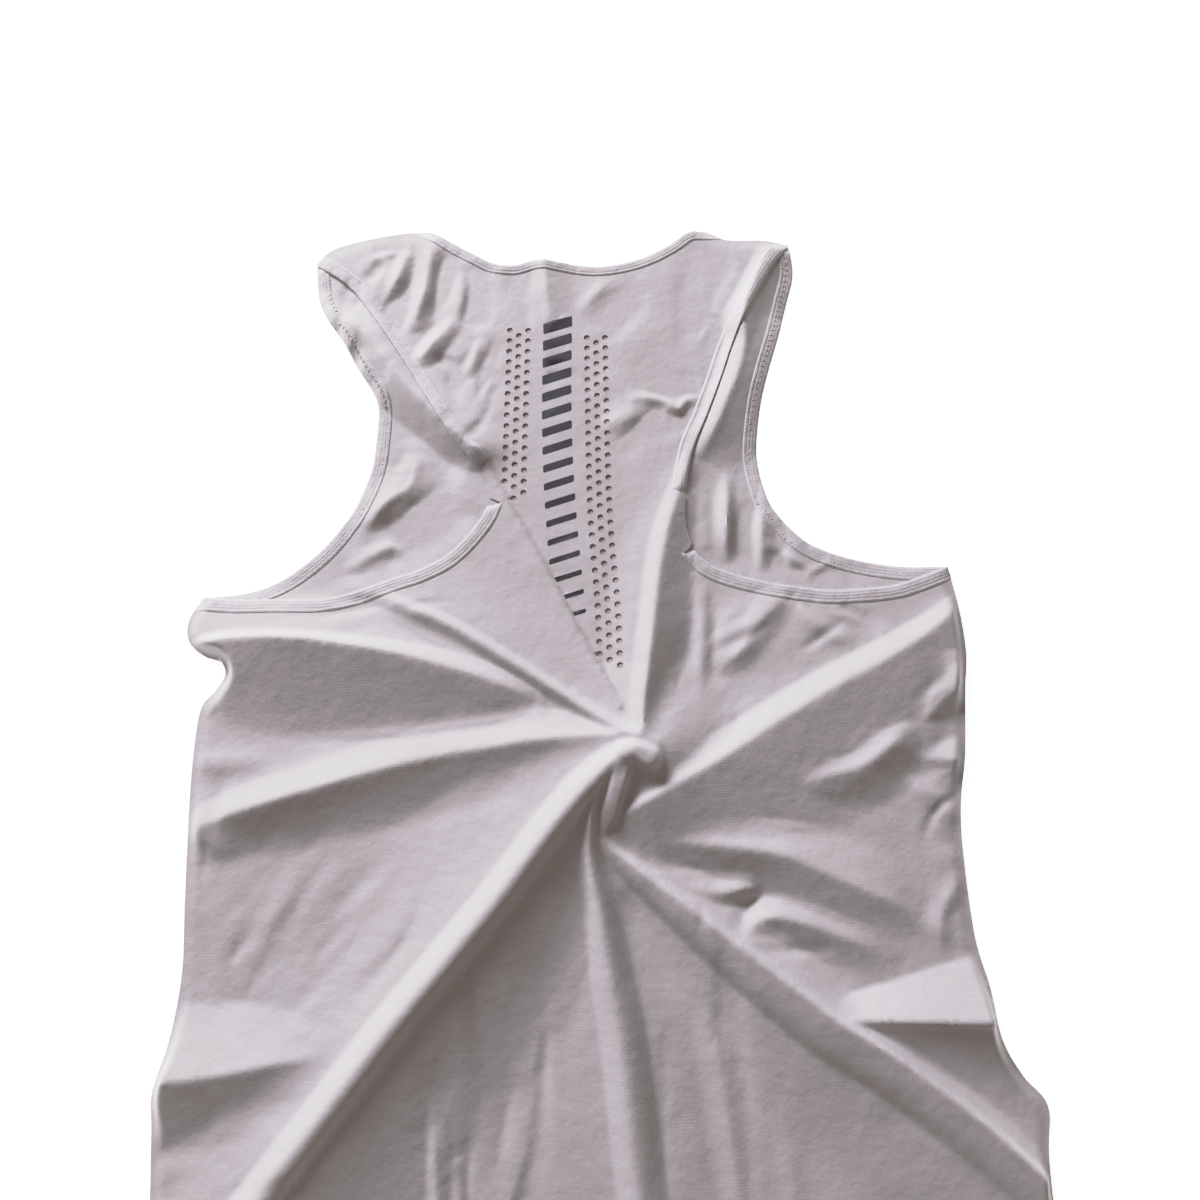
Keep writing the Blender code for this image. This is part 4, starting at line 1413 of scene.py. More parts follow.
@dataclass(frozen=True)
class Finish:
    """What every cloth finish has: its colours, its sheen and its fine surface."""

    name: str
    colour: Triple = (0.62, 0.61, 0.615)
    shade: Triple = (0.595, 0.58, 0.58)
    roughness: float = 0.68
    sheen: float = 0.18
    sheen_roughness: float = 0.45
    patch_scale: float = 14.0
    patch_detail: float = 4.0
    patch_roughness: float = 0.6
    patch_limits: Pair = (0.35, 0.65)
    fibre_scale: float = 1400.0
    fibre_detail: float = 2.0
    fibre_strength: float = 0.12
    fibre_depth: float = 0.0002

    def material(self) -> Material:
        """Makes the material.

        Returns:
            The material, of which the colour wavers between two tones in patches.
        """
        material = bpy.data.materials.new(self.name)
        material.use_nodes = True
        material.diffuse_color = (*self.colour, 1.0)
        sheet = NodeSheet(material.node_tree)
        shader = material.node_tree.nodes["Principled BSDF"]
        place = sheet.add("ShaderNodeTexCoord").outputs["Object"]
        patches = sheet.grain(place, self.patch_scale, self.patch_detail, self.patch_roughness)
        ramp = sheet.add("ShaderNodeValToRGB", {"Fac": patches})
        tones = (self.shade, self.colour)
        for element, limit, tone in zip(ramp.color_ramp.elements, self.patch_limits, tones):
            element.position = limit
            element.color = (*tone, 1.0)
        shader.inputs["Roughness"].default_value = self.roughness
        shader.inputs["Sheen Weight"].default_value = self.sheen
        shader.inputs["Sheen Roughness"].default_value = self.sheen_roughness
        colour = self.worked_colour(sheet, place, ramp.outputs["Color"])
        material.node_tree.links.new(colour, shader.inputs["Base Color"])
        normal = self.surface(sheet, place)
        material.node_tree.links.new(normal, shader.inputs["Normal"])
        return material

    def worked_colour(self, sheet: NodeSheet, place: Socket, colour: Socket) -> Socket:
        """The colour with what the finish adds to it."""
        return colour

    def surface(self, sheet: NodeSheet, place: Socket) -> Socket:
        """The normal of the fine surface."""
        fibres = sheet.grain(place, self.fibre_scale, self.fibre_detail)
        return sheet.bumped(fibres, self.fibre_strength, self.fibre_depth)


@dataclass(frozen=True)
class ClothFinish(Finish):
    """Fine knitted microfibre: narrow wales and courses that show in patches."""

    pitch: float = 0.0017
    fine_pitch: float = 0.0006
    depth: float = 0.00002
    fine_depth: float = 0.000015
    wander: float = 0.35
    wander_detail: float = 1.0
    wander_scale: float = 2.0
    shown_scale: float = 17.0
    shown_detail: float = 2.0
    shown_limits: Pair = (0.42, 0.66)
    pucker: float = 0.0005
    pucker_scale: float = 110.0
    pucker_detail: float = 3.0
    pucker_roughness: float = 0.55

    def knit(self, sheet: NodeSheet, place: Socket, pitch: float) -> Socket:
        """Wales and courses, from 0 to 2."""
        more = {
            "Distortion": self.wander,
            "Detail": self.wander_detail,
            "Detail Scale": self.wander_scale,
        }
        wales, courses = (sheet.bands(place, pitch, axis, more) for axis in "XY")
        return sheet.maths("ADD", wales, courses)

    def surface(self, sheet: NodeSheet, place: Socket) -> Socket:
        """The normal of the knit, with its small puckers."""
        coarse = self.knit(sheet, place, self.pitch)
        fine = self.knit(sheet, place, self.fine_pitch)
        patch = sheet.grain(place, self.shown_scale, self.shown_detail)
        coarse = sheet.maths("MULTIPLY", coarse, sheet.within(patch, self.shown_limits))
        coarse = sheet.maths("MULTIPLY", coarse, self.depth)
        fine = sheet.maths("MULTIPLY", fine, self.fine_depth)
        puckers = sheet.grain(place, self.pucker_scale, self.pucker_detail, self.pucker_roughness)
        raised = sheet.maths("MULTIPLY", puckers, self.pucker)
        return sheet.bumped(sheet.maths("ADD", sheet.maths("ADD", coarse, fine), raised))


@dataclass(frozen=True)
class BindingFinish(Finish):
    """The same cloth folded into a smooth tape, with faint ribs along it."""

    rib_pitch: float = 0.0021
    rib_depth: float = 0.00009
    rib_wander: float = 0.6
    dimple_depth: float = 0.0006
    dimple_size: float = 0.0052
    dimple_detail: float = 2.0

    def surface(self, sheet: NodeSheet, place: Socket) -> Socket:
        """The normal of the tape, from its own map: u along it and v across it."""
        along = sheet.add("ShaderNodeUVMap", uv_map=TAPE_MAP).outputs["UV"]
        ribs = sheet.bands(along, self.rib_pitch, "Y", {"Distortion": self.rib_wander})
        dimples = sheet.grain(along, 1 / self.dimple_size, self.dimple_detail)
        raised = sheet.maths("MULTIPLY", dimples, self.dimple_depth)
        fine = sheet.maths("MULTIPLY", ribs, self.rib_depth)
        return sheet.bumped(sheet.maths("ADD", raised, fine))


@dataclass(frozen=True)
class InkFinish(Finish):
    """A dark transfer print on the cloth, slightly worn."""

    rub_scale: float = 420.0
    rub_detail: float = 3.0
    rub_limits: Pair = (0.62, 0.8)
    most_rubbed: float = 0.35
    lighter: float = 4.0

    def worked_colour(self, sheet: NodeSheet, place: Socket, colour: Socket) -> Socket:
        """The ink's colour, lighter where it is rubbed."""
        rub = sheet.grain(place, self.rub_scale, self.rub_detail)
        worn = sheet.within(rub, self.rub_limits, self.most_rubbed)
        rubbed = (*(self.lighter * part for part in self.colour), 1.0)
        inputs = {MIX_FACTOR: worn, MIX_FIRST: colour, MIX_SECOND: rubbed}
        return sheet.add("ShaderNodeMix", inputs, data_type="RGBA").outputs[MIX_RESULT]


@dataclass(frozen=True)
class ThreadFinish(Finish):
    """Spun sewing thread."""

    twist: float = 900.0
    twist_wander: float = 1.0
    twist_strength: float = 0.3
    twist_depth: float = 0.0001

    def surface(self, sheet: NodeSheet, place: Socket) -> Socket:
        """The normal of the twisted thread."""
        inputs = {"Vector": place, "Scale": self.twist, "Distortion": self.twist_wander}
        wave = sheet.add("ShaderNodeTexWave", inputs, bands_direction="DIAGONAL")
        return sheet.bumped(wave.outputs["Fac"], self.twist_strength, self.twist_depth)


@dataclass
class Wardrobe:
    """The singlet's finishes, each made once."""

    cloth: Material = field(init=False)
    binding: Material = field(init=False)
    thread: Material = field(init=False)
    ink: Material = field(init=False)
    # inside is the darker, browner cloth under the holes: painted shade, not the cloth's own colour.
    inside: Material = field(init=False)

    def __post_init__(self) -> None:
        """Makes the materials."""
        self.cloth = ClothFinish("microfibre").material()
        self.binding = BindingFinish(
            "folded_tape", colour=(0.66, 0.655, 0.665), shade=(0.62, 0.61, 0.615)
        ).material()
        self.thread = ThreadFinish(
            "sewing_thread",
            colour=(0.72, 0.71, 0.71),
            shade=(0.64, 0.63, 0.62),
            roughness=0.55,
        ).material()
        self.ink = InkFinish(
            "transfer_ink",
            colour=(0.034, 0.036, 0.041),
            shade=(0.026, 0.027, 0.031),
            roughness=0.5,
            sheen=0.1,
        ).material()
        # Painted shade: the front cloth seen through the holes, coloured darker and browner than the
        # cloth.
        self.inside = ClothFinish(
            "painted_shade_cloth", colour=(0.5, 0.43, 0.41), shade=(0.43, 0.36, 0.34)
        ).material()


# --------------------------------------
# The print and the holes


@dataclass(frozen=True)
class SlantedBars:
    """A plain print down the middle of the back: slanted bars that grow thinner downwards."""

    top: Pair = (-7.0, 268.0)
    bottom: Pair = (-6.0, 52.0)
    bow: float = -4.0
    width: float = 21.0
    slant: float = 6.0
    thick: float = 8.4
    thin: float = 3.0
    count: int = 17
    corner: float = 1.3
    corner_steps: int = 4

    def bar(self, middle: Array, thickness: float) -> Array:
        """One bar with rounded corners, as a closed anticlockwise loop.

        Args:
            middle: The bar's middle.
            thickness: Its thickness.

        Returns:
            The loop's points.
        """
        half = self.width / 2
        rise = self.slant / 2
        corners = np.array(
            [
                (-half, -rise - thickness / 2),
                (half, rise - thickness / 2),
                (half, rise + thickness / 2),
                (-half, -rise + thickness / 2),
            ]
        )
        loop = []
        for before, here, after in zip(np.roll(corners, 1, 0), corners, np.roll(corners, -1, 0)):
            back = (before - here) / np.linalg.norm(before - here) * self.corner
            ahead = (after - here) / np.linalg.norm(after - here) * self.corner
            for t in np.linspace(0, 1, self.corner_steps):
                loop.append(here + back * (1 - t) ** 2 + ahead * t**2)
        return np.array(loop) + middle

    def loops(self) -> list[Array]:
        """The outline of every bar, from the top down.

        Returns:
            A loop for each bar.
        """
        loops = []
        for share in np.linspace(0, 1, self.count):
            x = np.interp(share, (0, 1), (self.top[0], self.bottom[0]))
            y = np.interp(share, (0, 1), (self.top[1], self.bottom[1]))
            middle = np.array((x + self.bow * math.sin(math.pi * share), y))
            thickness = self.thick + (self.thin - self.thick) * share
            loops.append(self.bar(middle, thickness))
        return loops


@dataclass(frozen=True)
class Punching:
    """The holes punched down the back, three columns to a band."""

    bands: tuple[HoleBand, ...] = HOLE_BANDS
    radius: float = 2.15
    sides: int = 12
    column: float = 6.6
    row: float = 8.3
    clearance: float = 4.3

    def centres(self) -> Array:
        """The places of the holes, with the middle column set half a row down.

        Returns:
            The middle of each hole.
        """
        centres = []
        for band in self.bands:
            line, _ = smooth_line(band.line, FINE_STEP)
            length = length_along(line)
            normals = unit_normals(line)
            for column in (-1, 0, 1):
                for row in range(band.rows):
                    at = (row + (0.5 if column == 0 else 0.0)) * self.row
                    if at > length[-1]:
                        continue
                    point = np.array([np.interp(at, length, axis) for axis in line.T])
                    across = np.array([np.interp(at, length, axis) for axis in normals.T])
                    centres.append(point + across * column * self.column)
        return np.array(centres)

    def loops(self, boundary: Array) -> list[Array]:
        """The holes that the pleat leaves open, each a closed loop.

        Args:
            boundary: The outline of the cloth that is punched.

        Returns:
            The loop of each hole.
        """
        line, share = smooth_line(PLEAT.line, self.row)
        centres = self.centres()
        distance, _, side = nearest_on(line, share, centres)
        above = centres[:, 1] > PLEAT.line[0][1]
        shown = ((distance > self.clearance) & (side > 0)) | above
        rim = tree_of(boundary)
        clear = [rim.find((x, y, 0))[2] > self.clearance for x, y in centres]
        angles = np.arange(self.sides) * 2 * math.pi / self.sides
        ring = self.radius * np.column_stack([np.cos(angles), np.sin(angles)])
        return [centre + ring for centre in centres[shown & np.array(clear, bool)]]


# --------------------------------------
# The panels

# The kind of triangulation that leaves out what lies outside the outline.
INSIDE_ONLY = 1


@dataclass
class Panel(ABC):
    """A panel of cloth: a thin closed wall on the form of its solid.

    Its plan is filled with a triangular grid, which stays coarse where the slope turns by less
    than turn from one point to the next. The spacing of the points along the crests, and what
    they and the grid keep clear of, are shares of the grid's spacing. hole_rim is how far from a
    hole's middle the first of them may lie.
    """

    name: str
    node: str
    outline: Outline
    relief: tuple[Relief, ...]
    underside: Surface
    grid: float = 2.0
    turn: float = 0.17
    slack: float = 0.99
    crest_spacing: float = 1.5
    crest_clearance: float = 0.5
    grid_clearance: float = 0.6
    same_point: float = 1e-4
    tuck: float = 1.0
    hole_rim: float = 2.7
    sharp_angle: float = math.radians(50.0)
    wall: float = WALL
    hem_width: float = 20.0
    hem_rise: float = 0.35
    hem_shoulder: float = 1.1

    @abstractmethod
    def lower(self, plan: Array, top: Array, level: Array) -> Array:
        """The height of the lower face, where level is how level the upper one is, up to 1."""

    @abstractmethod
    def second_finish(self, wardrobe: Wardrobe) -> Material:
        """The finish of the faces that aren't plain cloth."""

    @abstractmethod
    def marked(self, middles: Array, prints: list[Array]) -> Array:
        """Which faces of the upper side, by their middles, have the second finish."""

    def holes(self, boundary: Array) -> list[Array]:
        """The loops that are cut out of the panel."""
        return []

    def prints(self) -> list[Array]:
        """The loops that are printed on the panel."""
        return []

    def hem_height(self, points: Array) -> Array:
        """How far the turned-up hem stands proud."""
        distance = distance_from(HEM.points, self.hem_width, points)
        return self.hem_rise * eased((self.hem_width - distance) / self.hem_shoulder)

    def top(self, points: Array) -> Array:
        """The height of the panel's upper face."""
        return self.underside(points) + self.wall + self.hem_height(points)

    def hem_rows(self) -> Array:
        """Lines along the shoulder of the hem."""
        line, _ = smooth_line(HEM.points, 2 * self.grid)
        normals = unit_normals(line)
        offsets = (self.hem_width - self.hem_shoulder, self.hem_width)
        return np.vstack([line + normals * offset for offset in offsets])

    def grid_points(self, boundary: Array) -> Array:
        """Points inside the boundary, close together where the cloth bends and wide elsewhere."""
        low, high = boundary.min(axis=0), boundary.max(axis=0)
        points, spacing = nested_grid(low, high, self.grid)
        allowed = self.turn / np.maximum(BendMap.of(self.top, low, high).at(points), TINY)
        allowed = np.minimum(allowed, WIDEST_GRID * self.grid) * self.slack
        kept = (spacing * self.grid > allowed) | (spacing == WIDEST_GRID)
        return points[kept & inside(points, boundary)]

    def outside_holes(self, points: Array, holes: list[Array]) -> Array:
        """The points that aren't in a hole or on its rim."""
        if not holes:
            return points
        middles = np.array([hole.mean(axis=0) for hole in holes])
        return clear_of(points, middles, self.hole_rim)

    def filling(self, boundary: Array, holes: list[Array], taken: Array) -> Array:
        """The points that the plan is filled with.

        Args:
            boundary: The outline of the cloth.
            holes: The loops of the holes.
            taken: The points of every loop.

        Returns:
            The points along the crests and the hem, and then those of the grid.
        """
        spacing, clearance = self.crest_spacing * self.grid, self.crest_clearance * self.grid
        crests = [relief.crest_points(spacing) for relief in self.relief]
        crests = np.vstack([self.hem_rows(), *crests])
        crests = self.outside_holes(crests[inside(crests, boundary)], holes)
        crests = well_spaced(clear_of(crests, taken, clearance), clearance)
        grid = self.outside_holes(self.grid_points(boundary), holes)
        grid = clear_of(grid, np.vstack([taken, crests]), self.grid * self.grid_clearance)
        return np.vstack([crests, grid])

    def triangulated(self) -> tuple[Array, Array, Array]:
        """The panel's plan.

        Returns:
            The plan points, the triangles, each anticlockwise, and which have the second finish.
        """
        boundary = self.outline.cloth_loop(self.tuck)
        holes = self.holes(boundary)
        prints = self.prints()
        loops = [boundary, *holes, *prints]
        taken = np.vstack(loops)
        corners = [*taken, *self.filling(boundary, holes, taken)]
        edges, start = [], 0
        for loop in loops:
            edges += [(start + i, start + (i + 1) % len(loop)) for i in range(len(loop))]
            start += len(loop)
        vectors = [Vector(corner) for corner in corners]
        result = delaunay_2d_cdt(vectors, edges, [], INSIDE_ONLY, self.same_point)
        plan = np.array([tuple(vert) for vert in result[0]])
        triangles = np.array([tuple(face) for face in result[2]])
        hole_of = np.full(len(plan), -1)
        starts = np.cumsum([0] + [len(loop) for loop in [boundary, *holes]])
        for index, originals in enumerate(result[3]):
            for original in originals:
                if starts[1] <= original < starts[-1]:
                    hole_of[index] = np.searchsorted(starts, original, side="right")
        owner = hole_of[triangles]
        in_hole = (owner[:, 0] >= 0) & (owner == owner[:, :1]).all(axis=1)
        triangles = triangles[~in_hole]
        a, b, c = (plan[triangles[:, corner]] for corner in range(3))
        turn = (b - a)[:, 0] * (c - a)[:, 1] - (b - a)[:, 1] * (c - a)[:, 0]
        triangles[turn < 0] = triangles[turn < 0][:, ::-1]
        return plan, triangles, self.marked((a + b + c) / 3, prints)

    def shape(self) -> tuple[Array, list, Array]:
        """The panel's mesh.

        Returns:
            Its points, its faces, and which faces have the second finish.
        """
        plan, triangles, marked = self.triangulated()
        top = self.top(plan)
        points = np.column_stack([plan, top])
        a, b, c = (points[triangles[:, corner]] for corner in range(3))
        facing = np.cross(b - a, c - a)
        normals = np.zeros_like(points)
        for corner in range(3):
            np.add.at(normals, triangles[:, corner], facing)
        level = normals[:, 2] / np.linalg.norm(normals, axis=1)
        bottom = self.lower(plan, top, level)
        upper = triangles.tolist()
        count = len(plan)
        sides = [edge for a, b, c in upper for edge in ((a, b), (b, c), (c, a))]
        known = set(sides)
        faces = upper + [(c + count, b + count, a + count) for a, b, c in upper]
        faces += [(b, a, a + count, b + count) for a, b in sides if (b, a) not in known]
        flags = np.zeros(len(faces), bool)
        flags[: len(upper)] = marked
        return np.vstack([points, np.column_stack([plan, bottom])]), faces, flags

    def build(self, wardrobe: Wardrobe) -> bpy.types.Object:
        """Makes the panel and ties it to the frame."""
        points, faces, marked = self.shape()
        finishes = [wardrobe.cloth, self.second_finish(wardrobe)]
        piece = new_piece(self.name, points, faces, finishes)
        piece.data.polygons.foreach_set("material_index", marked.astype(np.int32))
        piece.data.set_sharp_from_angle(angle=self.sharp_angle)
        stand_for(piece, [self.node])
        return piece


@dataclass
class FrontPanel(Panel):
    """The front panel, whose faces under the punched holes are coloured darker and browner: painted
    shade.
    """

    # How far from each band's line the painted shade reaches.
    shaded: float = 10.5

    def lower(self, plan: Array, top: Array, level: Array) -> Array:
        """The height of the lower face, which is flat on the table wherever it can be."""
        return self.underside(plan)

    def second_finish(self, wardrobe: Wardrobe) -> Material:
        """The darker, browner cloth under the holes: painted shade."""
        return wardrobe.inside

    def marked(self, middles: Array, prints: list[Array]) -> Array:
        """Which faces of the upper side, by their middles, get the painted shade under the holes."""
        away = [distance_from(band.line, self.shaded, middles) for band in HOLE_BANDS]
        return np.min(away, axis=0) < self.shaded


@dataclass
class BackPanel(Panel):
    """The back panel, with its folds, punched holes and print."""

    punching: Punching = field(default_factory=Punching)
    motif: SlantedBars = field(default_factory=SlantedBars)
    print_edge: float = 3.4
    least_print: float = 3.0
    thickness: float = 0.5
    steepest: float = 3.0

    def lower(self, plan: Array, top: Array, level: Array) -> Array:
        """The height of the lower face, further down where the cloth is steep."""
        steepness = np.minimum(1 / np.maximum(level, TINY), self.steepest)
        return top - self.thickness * steepness

    def second_finish(self, wardrobe: Wardrobe) -> Material:
        """The ink."""
        return wardrobe.ink

    def marked(self, middles: Array, prints: list[Array]) -> Array:
        """Which faces of the upper side, by their middles, are printed."""
        return np.any([inside(middles, loop) for loop in prints], axis=0)

    def holes(self, boundary: Array) -> list[Array]:
        """The punched holes."""
        return self.punching.loops(boundary)

    def prints(self) -> list[Array]:
        """The printed bars, cut off where the pleat covers them.

        Returns:
            A loop for each bar.
        """
        line, _ = smooth_line(PLEAT.line, self.grid)
        normals = unit_normals(line)
        bars = []
        for bar in self.motif.loops():
            nearest = np.argmin(np.linalg.norm(line - bar.mean(axis=0), axis=1))
            cut = cut_off(bar, line[nearest] - normals[nearest] * self.print_edge, normals[nearest])
            if len(cut) > 2 and np.ptp(cut[:, 0]) > self.least_print:
                bars.append(cut)
        return bars


# --------------------------------------
# The bindings and the stitches


@dataclass
class Bindings:
    """The bound edges of one layer: a folded tape round the neck and each armhole.

    Where the panel is folded over a tape, and past_cover further, the tape is sunk and squeezed
    to a share of its depth. Elsewhere its depth is uneven by a share. On its map a point's place
    across it counts in full, and its height divided by map_depth.
    """

    layer: Layer
    outline: Outline
    underside: Surface
    seam_ease: Surface
    rise: float
    folds_over: bool = False
    sunk: float = 0.6
    squeezed: float = 0.25
    past_cover: float = 0.6
    wall: float = WALL
    uneven: float = 0.12
    uneven_length: float = 12.0
    uneven_seed: float = 3.0
    map_depth: float = 5.0

    def name_of(self, edge: Edge) -> str:
        """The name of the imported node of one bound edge."""
        place, _, side = edge.name.partition("_")
        return "_".join(part for part in (place, "binding", side, self.layer.value) if part)

    def bound(self) -> list[Edge]:
        """The edges that have a binding."""
        return [edge for edge in self.outline.edges if edge.binding]

    def height_at(self, points: Array, up: float | Array) -> Array:
        """The height of a share of the binding's depth."""
        depth = self.wall + self.rise * self.seam_ease(points)
        if not self.folds_over:
            return self.underside(points) + depth * up
        share = covered(points, more=self.past_cover)
        depth = depth * (1 - share * (1 - self.squeezed))
        return self.underside(points) - self.sunk * share + depth * up

    def shape(self, edge: Edge) -> tuple[Array, list, Array]:
        """One binding's points, faces and the map of its tape.

        Args:
            edge: The bound edge.

        Returns:
            The points, the faces, and for each point how far along and across the tape it is.
        """
        index = self.outline.edges.index(edge)
        outer = self.outline.cuts(lambda other: 0.0)[index]
        inner = self.outline.cuts(lambda other: other.binding)[index]
        shared = [station for station in outer.kept if station in inner.kept]
        out_line = np.vstack([outer.start, outer.line[shared], outer.end])
        in_line = np.vstack([inner.start, inner.line[shared], inner.end])
        along = length_along(out_line)
        wobble = [
            noise.noise((at / self.uneven_length, edge.binding, self.uneven_seed)) for at in along
        ]
        swell = 1 + self.uneven * np.array(wobble)
        rows, map_rows = [], []
        for corner in BAND_SECTION:
            plan = out_line + (in_line - out_line) * corner.across
            rows.append(np.column_stack([plan, self.height_at(plan, corner.up * swell)]))
            share = corner.across + corner.up / self.map_depth
            across = np.full(len(along), share * edge.binding)
            map_rows.append(np.column_stack([along, across]))
        points = np.stack(rows, axis=1).reshape(-1, 3)
        tape = np.stack(map_rows, axis=1).reshape(-1, 2)
        sides = len(BAND_SECTION)
        faces = []
        for ring in range(len(out_line) - 1):
            for side in range(sides):
                a = ring * sides + side
                b = ring * sides + (side + 1) % sides
                faces.append((a, a + sides, b + sides, b))
        faces.append(tuple(range(sides)))
        faces.append(tuple(range(len(points) - 1, len(points) - sides - 1, -1)))
        return points, faces, tape

    def build(self, wardrobe: Wardrobe) -> list[bpy.types.Object]:
        """Makes every binding of the layer and ties it to the frame.

        Args:
            wardrobe: The singlet's finishes.

        Returns:
            The bindings.
        """
        pieces = []
        for edge in self.bound():
            points, faces, tape = self.shape(edge)
            node = self.name_of(edge)
            piece = new_piece(f"{node}_tape", points, faces, [wardrobe.binding])
            layer = piece.data.uv_layers.new(name=TAPE_MAP)
            corners = np.zeros(len(piece.data.loops), np.int32)
            piece.data.loops.foreach_get("vertex_index", corners)
            layer.data.foreach_set("uv", (tape[corners] * MM).ravel())
            stand_for(piece, [node])
            pieces.append(piece)
        return pieces


class StitchTree:
    """The Geometry Nodes tree that sews stitches along the lines of a mesh."""

    def __init__(self, sides: int = 6, rings: int = 4) -> None:
        """Writes the tree.

        Args:
            sides: The sides of a stitch.
            rings: The rings of a stitch.
        """
        self.tree = bpy.data.node_groups.new("stitches", "GeometryNodeTree")
        self.sockets: dict[str, str] = {}
        self.declare("Lines", "NodeSocketGeometry")
        for name in ("Pitch", "Length", "Thickness", "Slant"):
            self.declare(name, "NodeSocketFloat")
        self.declare("Thread", "NodeSocketMaterial")
        self.tree.interface.new_socket("Stitches", in_out="OUTPUT", socket_type="NodeSocketGeometry")
        self.write(sides, rings)

    def declare(self, name: str, kind: str) -> None:
        """Adds a named input to the tree."""
        socket = self.tree.interface.new_socket(name, in_out="INPUT", socket_type=kind)
        self.sockets[name] = socket.identifier

    def write(self, sides: int, rings: int) -> None:
        """Writes the nodes: a slanted stitch at every pitch along each line.

        Args:
            sides: The sides of a stitch.
            rings: The rings of a stitch.
        """
        sheet = NodeSheet(self.tree)
        given = sheet.add("NodeGroupInput").outputs
        curve = sheet.add("GeometryNodeMeshToCurve", {"Mesh": given["Lines"]})
        even = sheet.add(
            "GeometryNodeResampleCurve",
            {"Curve": curve.outputs[0], "Length": given["Pitch"]},
            mode="LENGTH",
        )
        tangent = sheet.add("GeometryNodeInputTangent").outputs[0]
        turned = sheet.add(
            "FunctionNodeAlignRotationToVector", {"Vector": tangent}, axis="X", pivot_axis="Z"
        )
        index = sheet.add("GeometryNodeInputIndex").outputs[0]
        odd = sheet.maths("MODULO", index, 2.0)
        sign = sheet.maths("SUBTRACT", 1.0, sheet.maths("MULTIPLY", odd, 2.0))
        angle = sheet.maths("MULTIPLY", sign, given["Slant"])
        euler = sheet.add("ShaderNodeCombineXYZ", {"Z": angle}).outputs[0]
        slant = sheet.add("FunctionNodeEulerToRotation", {"Euler": euler}).outputs[0]
        turn = sheet.add(
            "FunctionNodeRotateRotation",
            {"Rotation": turned.outputs[0], "Rotate By": slant},
            rotation_space="LOCAL",
        )
        ball = sheet.add(
            "GeometryNodeMeshUVSphere", {"Segments": sides, "Rings": rings, "Radius": 0.5}
        )
        size = sheet.add(
            "ShaderNodeCombineXYZ",
            {"X": given["Length"], "Y": given["Thickness"], "Z": given["Thickness"]},
        )
        sewn = sheet.add(
            "GeometryNodeInstanceOnPoints",
            {
                "Points": even.outputs[0],
                "Instance": ball.outputs[0],
                "Rotation": turn.outputs[0],
                "Scale": size.outputs[0],
            },
        )
        real = sheet.add("GeometryNodeRealizeInstances", {"Geometry": sewn.outputs[0]})
        smooth = sheet.add("GeometryNodeSetShadeSmooth", {"Geometry": real.outputs[0]})
        dressed = sheet.add(
            "GeometryNodeSetMaterial",
            {"Geometry": smooth.outputs[0], "Material": given["Thread"]},
        )
        sheet.add("NodeGroupOutput", {0: dressed.outputs[0]})


@dataclass(frozen=True)
class StitchRow:
    """A row of stitches: its lines, and the size and slant of one stitch."""

    name: str
    lines: tuple[Array, ...]
    pitch: float
    length: float
    thickness: float
    slant: float = 0.0

    def build(self, tree: StitchTree, wardrobe: Wardrobe) -> bpy.types.Object:
        """Sews the row and ties it to the frame.

        Args:
            tree: The tree that sews.
            wardrobe: The singlet's finishes.

        Returns:
            The row as a plain mesh object.
        """
        points = np.vstack(self.lines)
        edges, start = [], 0
        for line in self.lines:
            edges += [(start + i, start + i + 1) for i in range(len(line) - 1)]
            start += len(line)
        guide_mesh = bpy.data.meshes.new(f"{self.name}_guide")
        guide_mesh.from_pydata((points * MM).tolist(), edges, [])
        guide = in_scene(f"{self.name}_guide", guide_mesh)
        modifier = guide.modifiers.new("sew", "NODES")
        modifier.node_group = tree.tree
        values = {
            "Pitch": self.pitch * MM,
            "Length": self.length * MM,
            "Thickness": self.thickness * MM,
            "Slant": self.slant,
            "Thread": wardrobe.thread,
        }
        for name, value in values.items():
            modifier[tree.sockets[name]] = value
        bpy.context.view_layer.update()
        sewn = guide.evaluated_get(bpy.context.evaluated_depsgraph_get())
        mesh = bpy.data.meshes.new_from_object(sewn)
        mesh.name = self.name
        guide.modifiers.remove(modifier)
        bpy.data.objects.remove(guide)
        piece = in_scene(self.name, mesh)
        stand_for(piece, [])
        return piece


